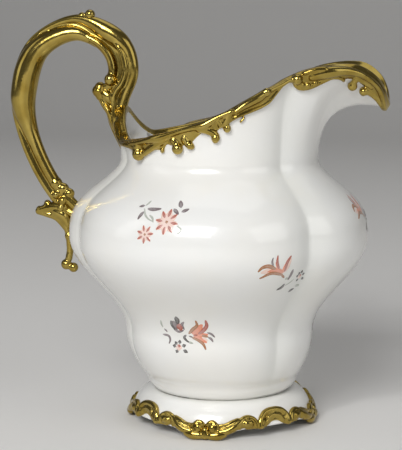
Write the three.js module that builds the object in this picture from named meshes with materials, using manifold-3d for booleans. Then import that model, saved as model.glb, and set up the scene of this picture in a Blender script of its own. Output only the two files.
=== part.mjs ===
// A porcelain creamer: a lobed baluster body with a flaring spout, a spread foot on four scroll feet,
// a gilded rim, and a looped gilded handle with its bud, leaf curl, spur and tail.
// Millimetres, +Z up. The spout points along +X, the handle along -X, and the feet stand on z = 0.

import * as THREE from 'three';
import { mergeVertices } from 'three/addons/utils/BufferGeometryUtils.js';
import Module from 'manifold-3d';

const wasm = await Module();
wasm.setup();

// Fit between neighbouring pieces
const GAP = 0.3;

// Body heights, each measured from the level below it
const FOOT_HEIGHT = 10;
const WAIST_RISE = 17;
const BELLY_RISE = 27.7;
const NECK_RISE = 22.8;

// Body radii and walls
const JOINT_RADIUS = 20.4;
const WAIST_RADIUS = 27.6;
const BELLY_RADIUS = 43.9;
const NECK_RADIUS = 28.9;
const BODY_WALL = 2.8;
const LIP_WALL = 2.2;
const FLOOR = 3.2;
const SHOULDER_SHARPNESS = 1.55;
const LEAN_TO_HANDLE = 0.03;

// Lobes: the creases lie at these angles from the spout, and sink by these shares of the radius.
// Those beside the handle are shallower, by a share of their own.
const SPOUT_CREASE = 42;
const HANDLE_CREASE = 155;
const HANDLE_CREASE_SHARE = 0.65;
const CREASE_AT_JOINT = 0.012;
const CREASE_AT_WAIST = 0.06;
const CREASE_AT_BELLY = 0.085;
const CREASE_AT_NECK = 0.065;
const CREASE_AT_RIM = 0.02;

// The rim, by angle from the spout: how far it flares past the neck and how high it stands above it
const LIP_TIP = { angle: 0, flare: 19.4, rise: 15.2 };
const LIP_EDGE = { angle: 8, flare: 19.0, rise: 19.8 };
const LIP_BEAK = { angle: 13, flare: 16.9, rise: 24.6 };
const LIP_CREST = { angle: 20, flare: 12.2, rise: 26.6 };
const LIP_CHEEK = { angle: 30, flare: 6.4, rise: 26.2 };
const LIP_SHOULDER = { angle: 38, flare: 2.4, rise: 24.3 };
const RIM_SHELL = { angle: 44, flare: 1.5, rise: 22.4 };
const RIM_SLOPE = { angle: 60, flare: 1.1, rise: 19.1 };
const RIM_SIDE = { angle: 90, flare: 1.4, rise: 11.3 };
const RIM_BACK = { angle: 125, flare: 1.3, rise: 6.2 };
const RIM_DIP = { angle: 148, flare: 1.0, rise: 4.9 };
const RIM_ROOT = { angle: 166, flare: 1.0, rise: 10.6 };
const RIM_PEAK = { angle: 180, flare: 1.0, rise: 14.5 };

// How the wall bends between the neck and the rim, as shares of the rise and flare
const SPOUT_BEND = { lowRise: 0.8, highRise: 1.18, highFlare: 0.3 };
const SIDE_BEND = { lowRise: 0.4, highRise: 0.75, highFlare: 0.4 };
const SPOUT_BEND_ENDS = 26;

// The gilded rim band, which caps the lip and hangs down outside it in scrolls
const BAND_GAP = 0.5;
const BAND_DEPTH = 2.6;
const BAND_RELIEF = 1.2;
const BAND_CAP = 1.0;
const BAND_INSIDE = 1.5;
const BAND_INNER_THICKNESS = 0.7;
const RIM_SCROLLS = [
  { angle: 127, drop: 3.2, spread: 6 },
  { angle: 103, drop: 3.6, spread: 4.4 },
  { angle: 95, drop: 3.2, spread: 3.8 },
  { angle: 84, drop: 4.4, spread: 4.4 },
  { angle: 76, drop: 3.2, spread: 3.8 },
  { angle: 57, drop: 1.6, spread: 11 },
  { angle: 32, drop: 2.2, spread: 7 },
  { angle: 17, drop: 3, spread: 4.2 },
  { angle: 10, drop: 3, spread: 3.8 },
];

// Relief knobs on the rim band: a shell beside the spout and a scroll eye on the side
const SHELL_ANGLE = 36;
const SHELL_RADIUS = 2.4;
const CURL_ANGLE = 82;
const CURL_RADIUS = 2.0;

// Foot: a hollow dome with a flange on top, its lower edge arched between the four scroll feet
const FOOT_RADIUS = 27;
const FOOT_WALL = 2.8;
const FLANGE_WIDTH = 4.9;
const FLANGE_THICKNESS = 2.4;
const LUTE_THICKNESS = 0.6;
const LUTE_WIDTH = 3.2;
const LUTE_RECESS = 0.7;
const ARCH_RISE = 1.2;
const ARCH_STARTS = 10;
const ARCH_LEVELS = 30;
const SCROLL_FOOT_HEIGHT = 2;

// The gilded foot band with its row of domed scrolls, four times round
const FOOT_BAND_RELIEF = 1.3;
const FOOT_BAND_DEPTH = 1.9;
const FOOT_BAND_HANG = 0.5;
const FOOT_DOMES = [
  { angle: 9, rise: 0.6, spread: 7 },
  { angle: 27, rise: 1.2, spread: 7 },
  { angle: 45, rise: 2.6, spread: 11 },
];
const SCROLL_FOOT_SPREAD = 9;
const SCROLL_FOOT_RADIUS = 2.7;

// Handle: the loop stands out past the belly and rises above the neck
const HANDLE_OUT = 16.4;
const HANDLE_CROWN_RISE = 37.6;
const HANDLE_ROOT_RISE = 3;
const LOOP_THICKNESS = {
  root: 6.0, limb: 6.0, side: 6.3, shoulder: 8.0, crown: 7.4, bend: 9.2, stem: 7.4, tip: 2.6,
};
const LOOP_DEPTH_SHARE = 0.92;
const LUTE_PAD = 0.6;

// Handle ornaments
const BUD_RADIUS = 2.3;
const LEAF_CURL_RADIUS = 3.0;
const SPUR_LENGTH = 8;
const SPUR_THICKNESS = 4.4;
const SPUR_TAPER = 0.45;
const TAIL_LENGTH = 13.4;
const TAIL_THICKNESS = 2.8;
const TAIL_BEAD_RADIUS = 2.2;

// How finely the pieces are faceted
const SPOUT_COLUMNS = 12;
const SIDE_COLUMNS = 14;
const HANDLE_COLUMNS = 6;
const BAND_SPLITS = 3;
const FOOT_COLUMNS = 80;
const LOOP_STATIONS = 40;
const LOOP_SIDES = 12;
const BALL_COLUMNS = 10;
const BALL_ROWS = 8;

// Levels worked out from the heights
const WAIST_Z = FOOT_HEIGHT + WAIST_RISE;
const BELLY_Z = WAIST_Z + BELLY_RISE;
const NECK_Z = BELLY_Z + NECK_RISE;
const FOOT_TOP_Z = FOOT_HEIGHT - LUTE_THICKNESS;

const PORCELAIN = new THREE.MeshStandardMaterial({ color: 0xf3f1ec, roughness: 0.12, metalness: 0 });
const GILDING = new THREE.MeshStandardMaterial({ color: 0xb8912f, roughness: 0.18, metalness: 1 });
const SLIP = new THREE.MeshStandardMaterial({ color: 0x8d8a80, roughness: 0.6, metalness: 0 });

const { lerp, smoothstep, degToRad } = THREE.MathUtils;

// A smooth curve through stations [position, value] that never overshoots them
function through(stations, position) {
  const last = stations.length - 1;
  const at = THREE.MathUtils.clamp(position, stations[0][0], stations[last][0]);
  const steps = stations.slice(1).map(([x, y], i) => ({
    width: x - stations[i][0],
    slope: (y - stations[i][1]) / (x - stations[i][0]),
  }));
  const tangent = (i) => {
    if (i === 0 || i === last) return 0;
    const before = steps[i - 1].slope;
    const after = steps[i].slope;
    return before * after > 0 ? (2 * before * after) / (before + after) : 0;
  };
  const i = Math.min(stations.findLastIndex(([x]) => x <= at), last - 1);
  const { width } = steps[i];
  const u = (at - stations[i][0]) / width;
  const rise = stations[i + 1][1] - stations[i][1];
  const easeIn = u * (1 - u) ** 2 * width * tangent(i);
  const easeOut = u * u * (u - 1) * width * tangent(i + 1);
  return stations[i][1] + rise * u * u * (3 - 2 * u) + easeIn + easeOut;
}

// Angle from the spout, 0 to 180 degrees on either side
function fromSpout(angle) {
  const turned = ((angle % 360) + 360) % 360;
  return turned > 180 ? 360 - turned : turned;
}

// How near an angle lies to the creases: 0 in the middle of a lobe, 1 on a full crease
function creaseShare(angle) {
  const edges = [-SPOUT_CREASE, SPOUT_CREASE, HANDLE_CREASE, 360 - HANDLE_CREASE];
  const a = fromSpout(angle);
  const lobe = edges.findLastIndex((edge) => edge <= a);
  const middle = (edges[lobe] + edges[lobe + 1]) / 2;
  const towardsHandle = smoothstep(a, SPOUT_CREASE, HANDLE_CREASE);
  return ((a - middle) / (edges[lobe + 1] - middle)) ** 4 * lerp(1, HANDLE_CREASE_SHARE, towardsHandle);
}

const RIM = [
  LIP_TIP, LIP_EDGE, LIP_BEAK, LIP_CREST, LIP_CHEEK, LIP_SHOULDER,
  RIM_SHELL, RIM_SLOPE, RIM_SIDE, RIM_BACK, RIM_DIP, RIM_ROOT, RIM_PEAK,
];
const RIM_FLARE = RIM.map(({ angle, flare }) => [angle, flare]);
const RIM_RISE = RIM.map(({ angle, rise }) => [angle, rise]);
const CREASE_DEPTH = [
  [FOOT_HEIGHT, CREASE_AT_JOINT],
  [WAIST_Z, CREASE_AT_WAIST],
  [BELLY_Z, CREASE_AT_BELLY],
  [NECK_Z, CREASE_AT_NECK],
];

// The body's mean radius below the neck
function profile(z) {
  if (z < WAIST_Z) {
    const u = (z - FOOT_HEIGHT) / WAIST_RISE;
    return lerp(JOINT_RADIUS, WAIST_RADIUS, Math.sin((u * Math.PI) / 2));
  }
  if (z < BELLY_Z) {
    const u = (z - WAIST_Z) / BELLY_RISE;
    return lerp(WAIST_RADIUS, BELLY_RADIUS, (1 - Math.cos(u * Math.PI)) / 2);
  }
  const u = Math.min((z - BELLY_Z) / NECK_RISE, 1);
  return lerp(BELLY_RADIUS, NECK_RADIUS, (1 - Math.cos(u ** SHOULDER_SHARPNESS * Math.PI)) / 2);
}

// The body's outline at an angle: t from 0 to 1 climbs from the joint to the neck, 1 to 2 on to the rim
function outline(angle, t) {
  const z = lerp(FOOT_HEIGHT, NECK_Z, Math.min(t, 1));
  const lean = LEAN_TO_HANDLE * smoothstep(z, FOOT_HEIGHT, WAIST_Z);
  const sway = 1 - lean * Math.cos(degToRad(angle));
  const lobed = (depth) => 1 - depth * creaseShare(angle);
  const radius = profile(z) * sway * lobed(through(CREASE_DEPTH, z));
  if (t <= 1) return new THREE.Vector2(radius, z);
  const a = fromSpout(angle);
  const rise = through(RIM_RISE, a);
  const rimRadius = (NECK_RADIUS * sway + through(RIM_FLARE, a)) * lobed(CREASE_AT_RIM);
  const flare = rimRadius - radius;
  const side = smoothstep(a, 0, SPOUT_BEND_ENDS);
  const bend = (key) => lerp(SPOUT_BEND[key], SIDE_BEND[key], side);
  const curve = new THREE.CubicBezierCurve(
    new THREE.Vector2(radius, NECK_Z),
    new THREE.Vector2(radius, NECK_Z + rise * bend('lowRise')),
    new THREE.Vector2(radius + flare * bend('highFlare'), NECK_Z + rise * bend('highRise')),
    new THREE.Vector2(rimRadius, NECK_Z + rise),
  );
  return curve.getPoint(t - 1);
}

// The outward direction of the outline at t, in the plane of the axis
function outward(angle, t) {
  const step = 0.004;
  const low = outline(angle, Math.max(t - step, 0));
  const high = outline(angle, Math.min(t + step, 2));
  const along = high.sub(low).normalize();
  return new THREE.Vector2(along.y, -along.x);
}

// A point off the body's outline by a distance, outwards if it is positive
function offOutline(angle, t, distance) {
  return outline(angle, t).addScaledVector(outward(angle, t), distance);
}

function around(angle, { x: radius, y: height }) {
  const turn = degToRad(angle);
  return new THREE.Vector3(radius * Math.cos(turn), radius * Math.sin(turn), height);
}

// A closed surface over rows of points: each row is a ring, or one point that closes an end.
// A looped surface joins its last row to its first instead.
function skin(rows, looped = false) {
  const points = rows.flat();
  const starts = [];
  rows.reduce((count, row) => (starts.push(count), count + row.length), 0);
  const index = [];
  const pairs = looped ? rows.length : rows.length - 1;
  for (let i = 0; i < pairs; i += 1) {
    const j = (i + 1) % rows.length;
    const columns = Math.max(rows[i].length, rows[j].length);
    const low = (k) => starts[i] + (k % rows[i].length);
    const high = (k) => starts[j] + (k % rows[j].length);
    for (let k = 0; k < columns; k += 1) {
      if (rows[i].length > 1) index.push(low(k), low(k + 1), high(k + 1));
      if (rows[j].length > 1) index.push(low(k), high(k + 1), high(k));
    }
  }
  const geometry = new THREE.BufferGeometry().setFromPoints(points);
  geometry.setIndex(index);
  geometry.computeVertexNormals();
  return geometry;
}

// A closed piece swept along a curve in the plane of the handle, round in section, with rounded ends.
// The thickness is read at shares of the curve's length.
function sweep(curve, thickness, { stations, sides, grow = 0, depthShare = 1 }) {
  const across = new THREE.Vector3(0, -1, 0);
  const rows = [[curve.getPointAt(0).addScaledVector(curve.getTangentAt(0), -grow)]];
  for (let i = 0; i <= stations; i += 1) {
    const share = i / stations;
    const centre = curve.getPointAt(share);
    const tangent = curve.getTangentAt(share);
    const normal = new THREE.Vector3(-tangent.z, 0, tangent.x);
    const half = thickness(share) / 2;
    const ring = [];
    for (let k = 0; k < sides; k += 1) {
      const turn = (2 * Math.PI * k) / sides;
      const point = centre.clone().addScaledVector(normal, (half + grow) * Math.cos(turn));
      ring.push(point.addScaledVector(across, (half * depthShare + grow) * Math.sin(turn)));
    }
    rows.push(ring);
  }
  rows.push([curve.getPointAt(1).addScaledVector(curve.getTangentAt(1), grow)]);
  return skin(rows);
}

function solid(geometry) {
  const bare = geometry.clone();
  bare.deleteAttribute('normal');
  bare.deleteAttribute('uv');
  const merged = mergeVertices(bare);
  return new wasm.Manifold(new wasm.Mesh({
    numProp: 3,
    vertProperties: new Float32Array(merged.attributes.position.array),
    triVerts: new Uint32Array(merged.index.array),
  }));
}

function geometryOf(manifold) {
  const { vertProperties, triVerts } = manifold.getMesh();
  const geometry = new THREE.BufferGeometry();
  geometry.setAttribute('position', new THREE.BufferAttribute(vertProperties, 3));
  geometry.setIndex(new THREE.BufferAttribute(triVerts, 1));
  geometry.computeVertexNormals();
  return geometry;
}

function cut(piece, ...tools) {
  return tools.reduce((rest, tool) => rest.subtract(tool), piece);
}

function join(...pieces) {
  return pieces.reduce((whole, piece) => whole.add(piece));
}

// A ball, stretched by three factors, as a cutting or joining solid
function ball(centre, radius, stretch = [1, 1, 1], turn = 0) {
  const geometry = new THREE.SphereGeometry(radius, BALL_COLUMNS, BALL_ROWS);
  geometry.scale(...stretch).rotateZ(turn).translate(centre.x, centre.y, centre.z);
  return solid(geometry);
}

// A block far larger than the object, below or above a level
const BEYOND = 2 * (BELLY_RADIUS + HANDLE_OUT + HANDLE_CROWN_RISE + NECK_Z);
function half(level, side) {
  const block = new THREE.BoxGeometry(BEYOND, BEYOND, BEYOND);
  block.translate(0, 0, level + (side * BEYOND) / 2);
  return solid(block);
}

// Angles round the body, with columns on every crease
function lobeAngles(sideColumns) {
  const stretch = (from, to, count) => Array.from({ length: count }, (_, i) => lerp(from, to, i / count));
  const one = [
    ...stretch(0, SPOUT_CREASE, SPOUT_COLUMNS),
    ...stretch(SPOUT_CREASE, HANDLE_CREASE, sideColumns),
    ...stretch(HANDLE_CREASE, 180, HANDLE_COLUMNS),
  ];
  const other = one.slice(1).reverse().map((angle) => 360 - angle);
  return [...one, 180, ...other];
}

const BODY_ANGLES = lobeAngles(SIDE_COLUMNS);
const BAND_ANGLES = lobeAngles(SIDE_COLUMNS * BAND_SPLITS);
const evenAngles = (count) => Array.from({ length: count }, (_, i) => (360 * i) / count);
const ringAt = (angles, point) => angles.map((angle) => around(angle, point(angle)));

// Steps of t up the outline, closer together where it curves
const shareAt = (z) => (z - FOOT_HEIGHT) / (NECK_Z - FOOT_HEIGHT);
function climb(from, to, steps) {
  return Array.from({ length: steps }, (_, i) => lerp(from, to, (i + 1) / steps));
}
const LOWER_STEPS = [
  ...climb(0, shareAt(WAIST_Z), 4),
  ...climb(shareAt(WAIST_Z), shareAt(BELLY_Z), 5),
  ...climb(shareAt(BELLY_Z), 1, 6),
];
const UPPER_STEPS = climb(1, 2, 6);
const wallAt = (t) => lerp(BODY_WALL, LIP_WALL, smoothstep(t, 1, 2));

function bodyGeometry() {
  const floorZ = FOOT_HEIGHT + FLOOR;
  const floorPoint = (angle) => {
    const point = outline(angle, shareAt(floorZ));
    return new THREE.Vector2(point.x - BODY_WALL, floorZ);
  };
  const clearOfFloor = LOWER_STEPS.filter((t) => lerp(FOOT_HEIGHT, NECK_Z, t) > floorZ + FLOOR);
  const outer = [0, ...LOWER_STEPS, ...UPPER_STEPS].map((t) => ringAt(BODY_ANGLES, (a) => outline(a, t)));
  const inner = [...clearOfFloor, ...UPPER_STEPS].reverse()
    .map((t) => ringAt(BODY_ANGLES, (a) => offOutline(a, t, -wallAt(t))));
  return skin([
    [new THREE.Vector3(0, 0, FOOT_HEIGHT)],
    ...outer,
    ...inner,
    ringAt(BODY_ANGLES, floorPoint),
    [new THREE.Vector3(0, 0, floorZ)],
  ]);
}

// The body without its hollow, grown by a distance, for fitting other pieces against it
function bodyBlock(grow) {
  const rows = [0, ...LOWER_STEPS, ...UPPER_STEPS].map((t) => ringAt(BODY_ANGLES, (a) => offOutline(a, t, grow)));
  return solid(skin([
    [new THREE.Vector3(0, 0, FOOT_HEIGHT - grow)],
    ...rows,
    [new THREE.Vector3(0, 0, NECK_Z + RIM_DIP.rise)],
  ]));
}

// The rim band's section at an angle, from its lower outer edge round over the lip and back
function scrollDepth(angle) {
  const a = fromSpout(angle);
  const drops = RIM_SCROLLS.map(({ angle: middle, drop, spread }) => {
    const near = Math.min(Math.abs(a - middle) / spread, 1);
    return drop * Math.sqrt(1 - near * near);
  });
  return BAND_DEPTH + Math.max(...drops);
}

// A point on the outline a given distance below the rim, with its lift off the surface
function belowRim(angle, drop, lift) {
  const rim = outline(angle, 2);
  const tangent = outward(angle, 2);
  if (drop <= 0) {
    const up = new THREE.Vector2(-tangent.y, tangent.x);
    return rim.addScaledVector(up, -drop).addScaledVector(tangent, lift);
  }
  const step = 0.04;
  let t = 2;
  let left = drop;
  let length = rim.distanceTo(outline(angle, t - step));
  while (left > length && t > 1) {
    t -= step;
    left -= length;
    length = outline(angle, t).distanceTo(outline(angle, t - step));
  }
  return offOutline(angle, t - step * (left / length), lift);
}

const SLOT_STARTS = 6;
function bandSection(angle, grow) {
  const depth = scrollDepth(angle);
  const inside = -LIP_WALL - BAND_GAP;
  return [
    belowRim(angle, depth + grow, BAND_GAP - grow),
    belowRim(angle, depth * 0.7 + grow, BAND_GAP + BAND_RELIEF + grow),
    belowRim(angle, -BAND_GAP, BAND_GAP + BAND_RELIEF * 0.8 + grow),
    belowRim(angle, -BAND_GAP - BAND_CAP - grow, -LIP_WALL * 0.4),
    belowRim(angle, -BAND_GAP, inside - BAND_INNER_THICKNESS - grow),
    belowRim(angle, BAND_INSIDE + grow, inside),
    belowRim(angle, -BAND_GAP, inside),
    belowRim(angle, -BAND_GAP, BAND_GAP),
  ];
}

// The grown band, for fitting other pieces, is filled across the slot that the lip sits in
function rimBandGeometry(grow = 0) {
  const section = (angle) => bandSection(angle, grow).slice(0, grow > 0 ? SLOT_STARTS : undefined);
  const sections = BAND_ANGLES.map((angle) => section(angle).map((point) => around(angle, point)));
  return skin(sections[0].map((_, i) => sections.map((points) => points[i])), true);
}

// Foot: the lower edge follows the arches between the scroll feet
const fromScrollFoot = (angle) => Math.abs((((angle + 45) % 90) + 90) % 90 - 45);
const archAt = (angle) => ARCH_RISE * smoothstep(fromScrollFoot(angle), ARCH_STARTS, ARCH_LEVELS);
const footEdge = (angle) => SCROLL_FOOT_HEIGHT + archAt(angle);

// The foot's outer radius at a height: a quarter of an ellipse from the flange down to the edge
function footRadius(z) {
  const u = THREE.MathUtils.clamp(z / FOOT_TOP_Z, 0, 1);
  return lerp(JOINT_RADIUS, FOOT_RADIUS, Math.sqrt(1 - u * u));
}

function footGeometry() {
  const angles = evenAngles(FOOT_COLUMNS);
  const underFlange = FOOT_TOP_Z - FLANGE_THICKNESS;
  const outer = [0, 0.3, 0.6, 0.85, 1].map((share) => ringAt(angles, (angle) => {
    const z = lerp(footEdge(angle), FOOT_TOP_Z, share);
    return new THREE.Vector2(footRadius(z), z);
  }));
  const inner = [0.9, 0.4, 0].map((share) => ringAt(angles, (angle) => {
    const z = lerp(footEdge(angle), underFlange, share);
    return new THREE.Vector2(footRadius(z + FLANGE_THICKNESS * share) - FOOT_WALL, z);
  }));
  const flange = [FOOT_TOP_Z, underFlange].map((z) => (
    ringAt(angles, () => new THREE.Vector2(JOINT_RADIUS - FLANGE_WIDTH, z))
  ));
  return skin([...outer, ...flange, ...inner], true);
}

// The foot filled to the axis and grown, for fitting the scroll feet under it
function footBlock(grow) {
  const angles = evenAngles(FOOT_COLUMNS);
  const rows = [0, 0.4, 0.8, 1].map((share) => ringAt(angles, (angle) => {
    const z = lerp(footEdge(angle) - grow, FOOT_TOP_Z, share);
    return new THREE.Vector2(footRadius(z) + grow, z);
  }));
  const centre = (z) => [new THREE.Vector3(0, 0, z)];
  return solid(skin([centre(SCROLL_FOOT_HEIGHT - grow), ...rows, centre(FOOT_TOP_Z)]));
}

function footLuteGeometry() {
  const angles = evenAngles(FOOT_COLUMNS / 2);
  const outer = JOINT_RADIUS - LUTE_RECESS;
  const inner = outer - LUTE_WIDTH;
  const section = [[outer, FOOT_TOP_Z], [outer, FOOT_HEIGHT], [inner, FOOT_HEIGHT], [inner, FOOT_TOP_Z]];
  return skin(section.map(([radius, z]) => ringAt(angles, () => new THREE.Vector2(radius, z))), true);
}

// The foot band hugs the foot's lower edge, and its upper edge runs over the domes
function footBandTop(angle) {
  const away = fromScrollFoot(angle);
  const rises = FOOT_DOMES.map(({ angle: middle, rise, spread }) => {
    const near = Math.min(Math.abs(away - middle) / spread, 1);
    return rise * Math.sqrt(1 - near * near);
  });
  return footEdge(angle) + FOOT_BAND_DEPTH + Math.max(...rises);
}

function footBandGeometry(grow = 0) {
  const angles = evenAngles(FOOT_COLUMNS);
  const sections = angles.map((angle) => {
    const low = footEdge(angle) - FOOT_BAND_HANG;
    const high = footBandTop(angle);
    const middle = (low + high) / 2;
    const wall = (z) => footRadius(z) + GAP - grow;
    const face = (z, share) => footRadius(z) + GAP + FOOT_BAND_RELIEF * share + grow;
    return [
      [wall(low), low - grow],
      [face(low, 0.7), low - grow],
      [face(low, 1), middle],
      [face(high, 0.6), high + grow],
      [wall(high), high + grow],
      [wall(middle), middle],
    ].map(([radius, z]) => around(angle, new THREE.Vector2(radius, z)));
  });
  return skin(sections[0].map((_, i) => sections.map((section) => section[i])), true);
}

// Each scroll foot is a cluster of three lobes under the foot, flat where it stands
function scrollFoot(angle, tools) {
  const radius = FOOT_RADIUS - FOOT_WALL / 2 + GAP + FOOT_BAND_RELIEF / 2;
  const lobes = [-1, 0, 1].map((side) => {
    const at = angle + side * SCROLL_FOOT_SPREAD;
    const centre = around(at, new THREE.Vector2(radius, SCROLL_FOOT_HEIGHT / 2));
    return ball(centre, SCROLL_FOOT_RADIUS, [1, 1, 0.9], degToRad(at));
  });
  return cut(join(...lobes), ...tools, half(0, -1));
}

// Handle: one curve from inside the belly, out and up over the crown, and down to the rim
const HANDLE_X = -(BELLY_RADIUS + HANDLE_OUT);
const CROWN_Z = NECK_Z + HANDLE_CROWN_RISE;
const ROOT_Z = BELLY_Z + HANDLE_ROOT_RISE;
const STEM_X = -(NECK_RADIUS + RIM_PEAK.flare + LIP_WALL / 2);
const onHandle = (x, z) => new THREE.Vector3(x, 0, z);
const onLoop = (out, up) => onHandle(lerp(HANDLE_X, STEM_X, out), lerp(ROOT_Z, CROWN_Z, up));

const LOOP_CURVE = new THREE.CatmullRomCurve3([
  onHandle(-BELLY_RADIUS + 2 * BODY_WALL, ROOT_Z - 0.5 * LOOP_THICKNESS.root),
  onLoop(0.42, 0.1),
  onLoop(0.195, 0.265),
  onLoop(0.03, 0.48),
  onLoop(0, 0.67),
  onLoop(0.16, 0.895),
  onLoop(0.58, 1),
  onLoop(0.96, 0.915),
  onLoop(1.05, 0.785),
  onLoop(0.98, 0.655),
  onLoop(0.95, 0.55),
  onLoop(1, 0.45),
  onHandle(STEM_X + LIP_WALL, lerp(ROOT_Z, CROWN_Z, 0.36)),
]);

const LOOP_PROFILE = [
  [0, LOOP_THICKNESS.root],
  [0.12, LOOP_THICKNESS.limb],
  [0.28, LOOP_THICKNESS.side],
  [0.43, LOOP_THICKNESS.shoulder],
  [0.56, LOOP_THICKNESS.crown],
  [0.76, LOOP_THICKNESS.bend],
  [0.88, LOOP_THICKNESS.stem],
  [1, LOOP_THICKNESS.tip],
];

function loopBlock(grow) {
  return solid(sweep(LOOP_CURVE, (share) => through(LOOP_PROFILE, share), {
    stations: LOOP_STATIONS,
    sides: LOOP_SIDES,
    depthShare: LOOP_DEPTH_SHARE,
    grow,
  }));
}

// The spur juts out below the loop's root, and the tail hangs down beside the belly with a bead at its end
const SPUR_START = LOOP_CURVE.getPointAt(0.11);
const SPUR_CURVE = new THREE.QuadraticBezierCurve3(
  onHandle(SPUR_START.x + SPUR_LENGTH / 4, SPUR_START.z - SPUR_THICKNESS / 2),
  onHandle(SPUR_START.x - SPUR_LENGTH / 3, SPUR_START.z - SPUR_THICKNESS / 2),
  onHandle(SPUR_START.x - SPUR_LENGTH, SPUR_START.z - SPUR_THICKNESS),
);
function spurBlock(grow) {
  const taper = (share) => SPUR_THICKNESS * (1 - SPUR_TAPER * share);
  return solid(sweep(SPUR_CURVE, taper, { stations: 8, sides: 10, grow }));
}

const TAIL_X = -(BELLY_RADIUS * (1 + LEAN_TO_HANDLE) + GAP + TAIL_THICKNESS / 2);
const TAIL_TOP = BELLY_Z + TAIL_THICKNESS;
const TAIL_CURVE = new THREE.QuadraticBezierCurve3(
  onHandle(TAIL_X - TAIL_THICKNESS, TAIL_TOP + TAIL_THICKNESS),
  onHandle(TAIL_X, TAIL_TOP - TAIL_LENGTH / 3),
  onHandle(TAIL_X, TAIL_TOP - TAIL_LENGTH),
);

const body = bodyGeometry();
const rimBand = rimBandGeometry();
const bodyFit = bodyBlock(GAP);
const bodyUnderLute = bodyBlock(2 * GAP + LUTE_PAD);
const bandFit = solid(rimBandGeometry(GAP));
const footFit = footBlock(GAP);
const footBandFit = solid(footBandGeometry(GAP));
const loopFit = loopBlock(GAP);
const loop = cut(loopBlock(0), bodyUnderLute, bandFit);
const lutes = cut(loopBlock(-GAP).intersect(bodyBlock(GAP + LUTE_PAD)), bodyFit, bandFit);
const spur = cut(spurBlock(0), loopFit, bodyFit);
const tailShaft = solid(sweep(TAIL_CURVE, () => TAIL_THICKNESS, { stations: 10, sides: 10 }));
const tailBead = ball(TAIL_CURVE.getPointAt(1), TAIL_BEAD_RADIUS);
const tail = cut(join(tailShaft, tailBead), loopFit, spurBlock(GAP), bodyFit);

const leafCurlAt = LOOP_CURVE.getPointAt(0.84).add(onHandle(-LOOP_THICKNESS.bend / 2, 0));
const budAt = LOOP_CURVE.getPointAt(0.635).add(onHandle(0, LOOP_THICKNESS.crown / 2 + BUD_RADIUS / 4));

const creamer = new THREE.Group();

function add(name, geometry, material) {
  const mesh = new THREE.Mesh(geometry, material);
  mesh.name = name;
  creamer.add(mesh);
}

add('body', body, PORCELAIN);
add('foot', footGeometry(), PORCELAIN);
add('foot_lute', footLuteGeometry(), SLIP);
add('rim_band', rimBand, GILDING);
add('foot_band', footBandGeometry(), GILDING);
add('handle_loop', geometryOf(loop), GILDING);
add('handle_upper_lute', geometryOf(cut(lutes, half(BELLY_Z + NECK_RISE / 2, -1))), SLIP);
add('handle_lower_lute', geometryOf(cut(lutes, half(BELLY_Z + NECK_RISE / 2, 1))), SLIP);
add('thumb_bud', geometryOf(cut(ball(budAt, BUD_RADIUS), loopFit)), GILDING);
add('leaf_curl', geometryOf(cut(ball(leafCurlAt, LEAF_CURL_RADIUS), loopFit)), GILDING);
add('handle_spur', geometryOf(spur), GILDING);
add('handle_tail', geometryOf(tail), GILDING);

const SIDES = [['left', 1], ['right', -1]];
for (const [side, turn] of SIDES) {
  const shellAt = around(turn * SHELL_ANGLE, belowRim(turn * SHELL_ANGLE, SHELL_RADIUS, SHELL_RADIUS / 2));
  const curlAt = around(turn * CURL_ANGLE, belowRim(turn * CURL_ANGLE, CURL_RADIUS, CURL_RADIUS));
  add(`lip_shell_${side}`, geometryOf(cut(ball(shellAt, SHELL_RADIUS), bandFit, bodyFit)), GILDING);
  add(`rim_curl_${side}`, geometryOf(cut(ball(curlAt, CURL_RADIUS), bandFit, bodyFit)), GILDING);
}

const SCROLL_FEET = [['spout', 0], ['left', 90], ['handle', 180], ['right', 270]];
for (const [place, angle] of SCROLL_FEET) {
  add(`scroll_foot_${place}`, geometryOf(scrollFoot(angle, [footFit, footBandFit])), GILDING);
}

// The origin is under the middle of the whole creamer
const box = new THREE.Box3().setFromObject(creamer);
creamer.position.x = -(box.min.x + box.max.x) / 2;
creamer.updateMatrixWorld(true);

export default creamer;
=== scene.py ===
"""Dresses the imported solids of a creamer: white glaze, painted flower sprigs and gilded relief."""

import bmesh
import bpy
import numpy as np
from bpy.props import FloatProperty, FloatVectorProperty, PointerProperty
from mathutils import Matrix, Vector


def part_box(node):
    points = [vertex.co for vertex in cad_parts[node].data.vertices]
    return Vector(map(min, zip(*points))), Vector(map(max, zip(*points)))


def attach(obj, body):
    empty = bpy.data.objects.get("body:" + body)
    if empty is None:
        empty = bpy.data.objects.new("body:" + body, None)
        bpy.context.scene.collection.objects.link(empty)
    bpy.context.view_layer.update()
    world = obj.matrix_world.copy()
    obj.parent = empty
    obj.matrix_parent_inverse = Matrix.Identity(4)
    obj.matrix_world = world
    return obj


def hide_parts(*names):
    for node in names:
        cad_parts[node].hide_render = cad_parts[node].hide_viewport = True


bl_info = {
    "name": "Gilded creamer",
    "version": (1, 0, 0),
    "blender": (4, 5, 0),
    "location": "View3D > Sidebar > Creamer",
    "description": "Builds a gilded porcelain creamer around its packed solids",
    "category": "Add Mesh",
}

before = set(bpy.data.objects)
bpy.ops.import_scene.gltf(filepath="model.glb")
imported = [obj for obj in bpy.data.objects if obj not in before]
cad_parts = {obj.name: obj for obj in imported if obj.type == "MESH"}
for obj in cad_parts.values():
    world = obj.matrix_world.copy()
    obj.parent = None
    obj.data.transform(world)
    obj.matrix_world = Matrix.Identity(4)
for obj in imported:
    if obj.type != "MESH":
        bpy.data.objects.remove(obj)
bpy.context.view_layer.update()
MM = 0.001

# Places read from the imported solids
BODY_LOW, BODY_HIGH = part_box("body")
FOOT_LOW, FOOT_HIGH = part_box("foot")
AXIS_X = (FOOT_LOW.x + FOOT_HIGH.x) / 2
# How far the belly stays inside its solid, in millimetres
BELLY_CLEARANCE = 0.05

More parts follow.
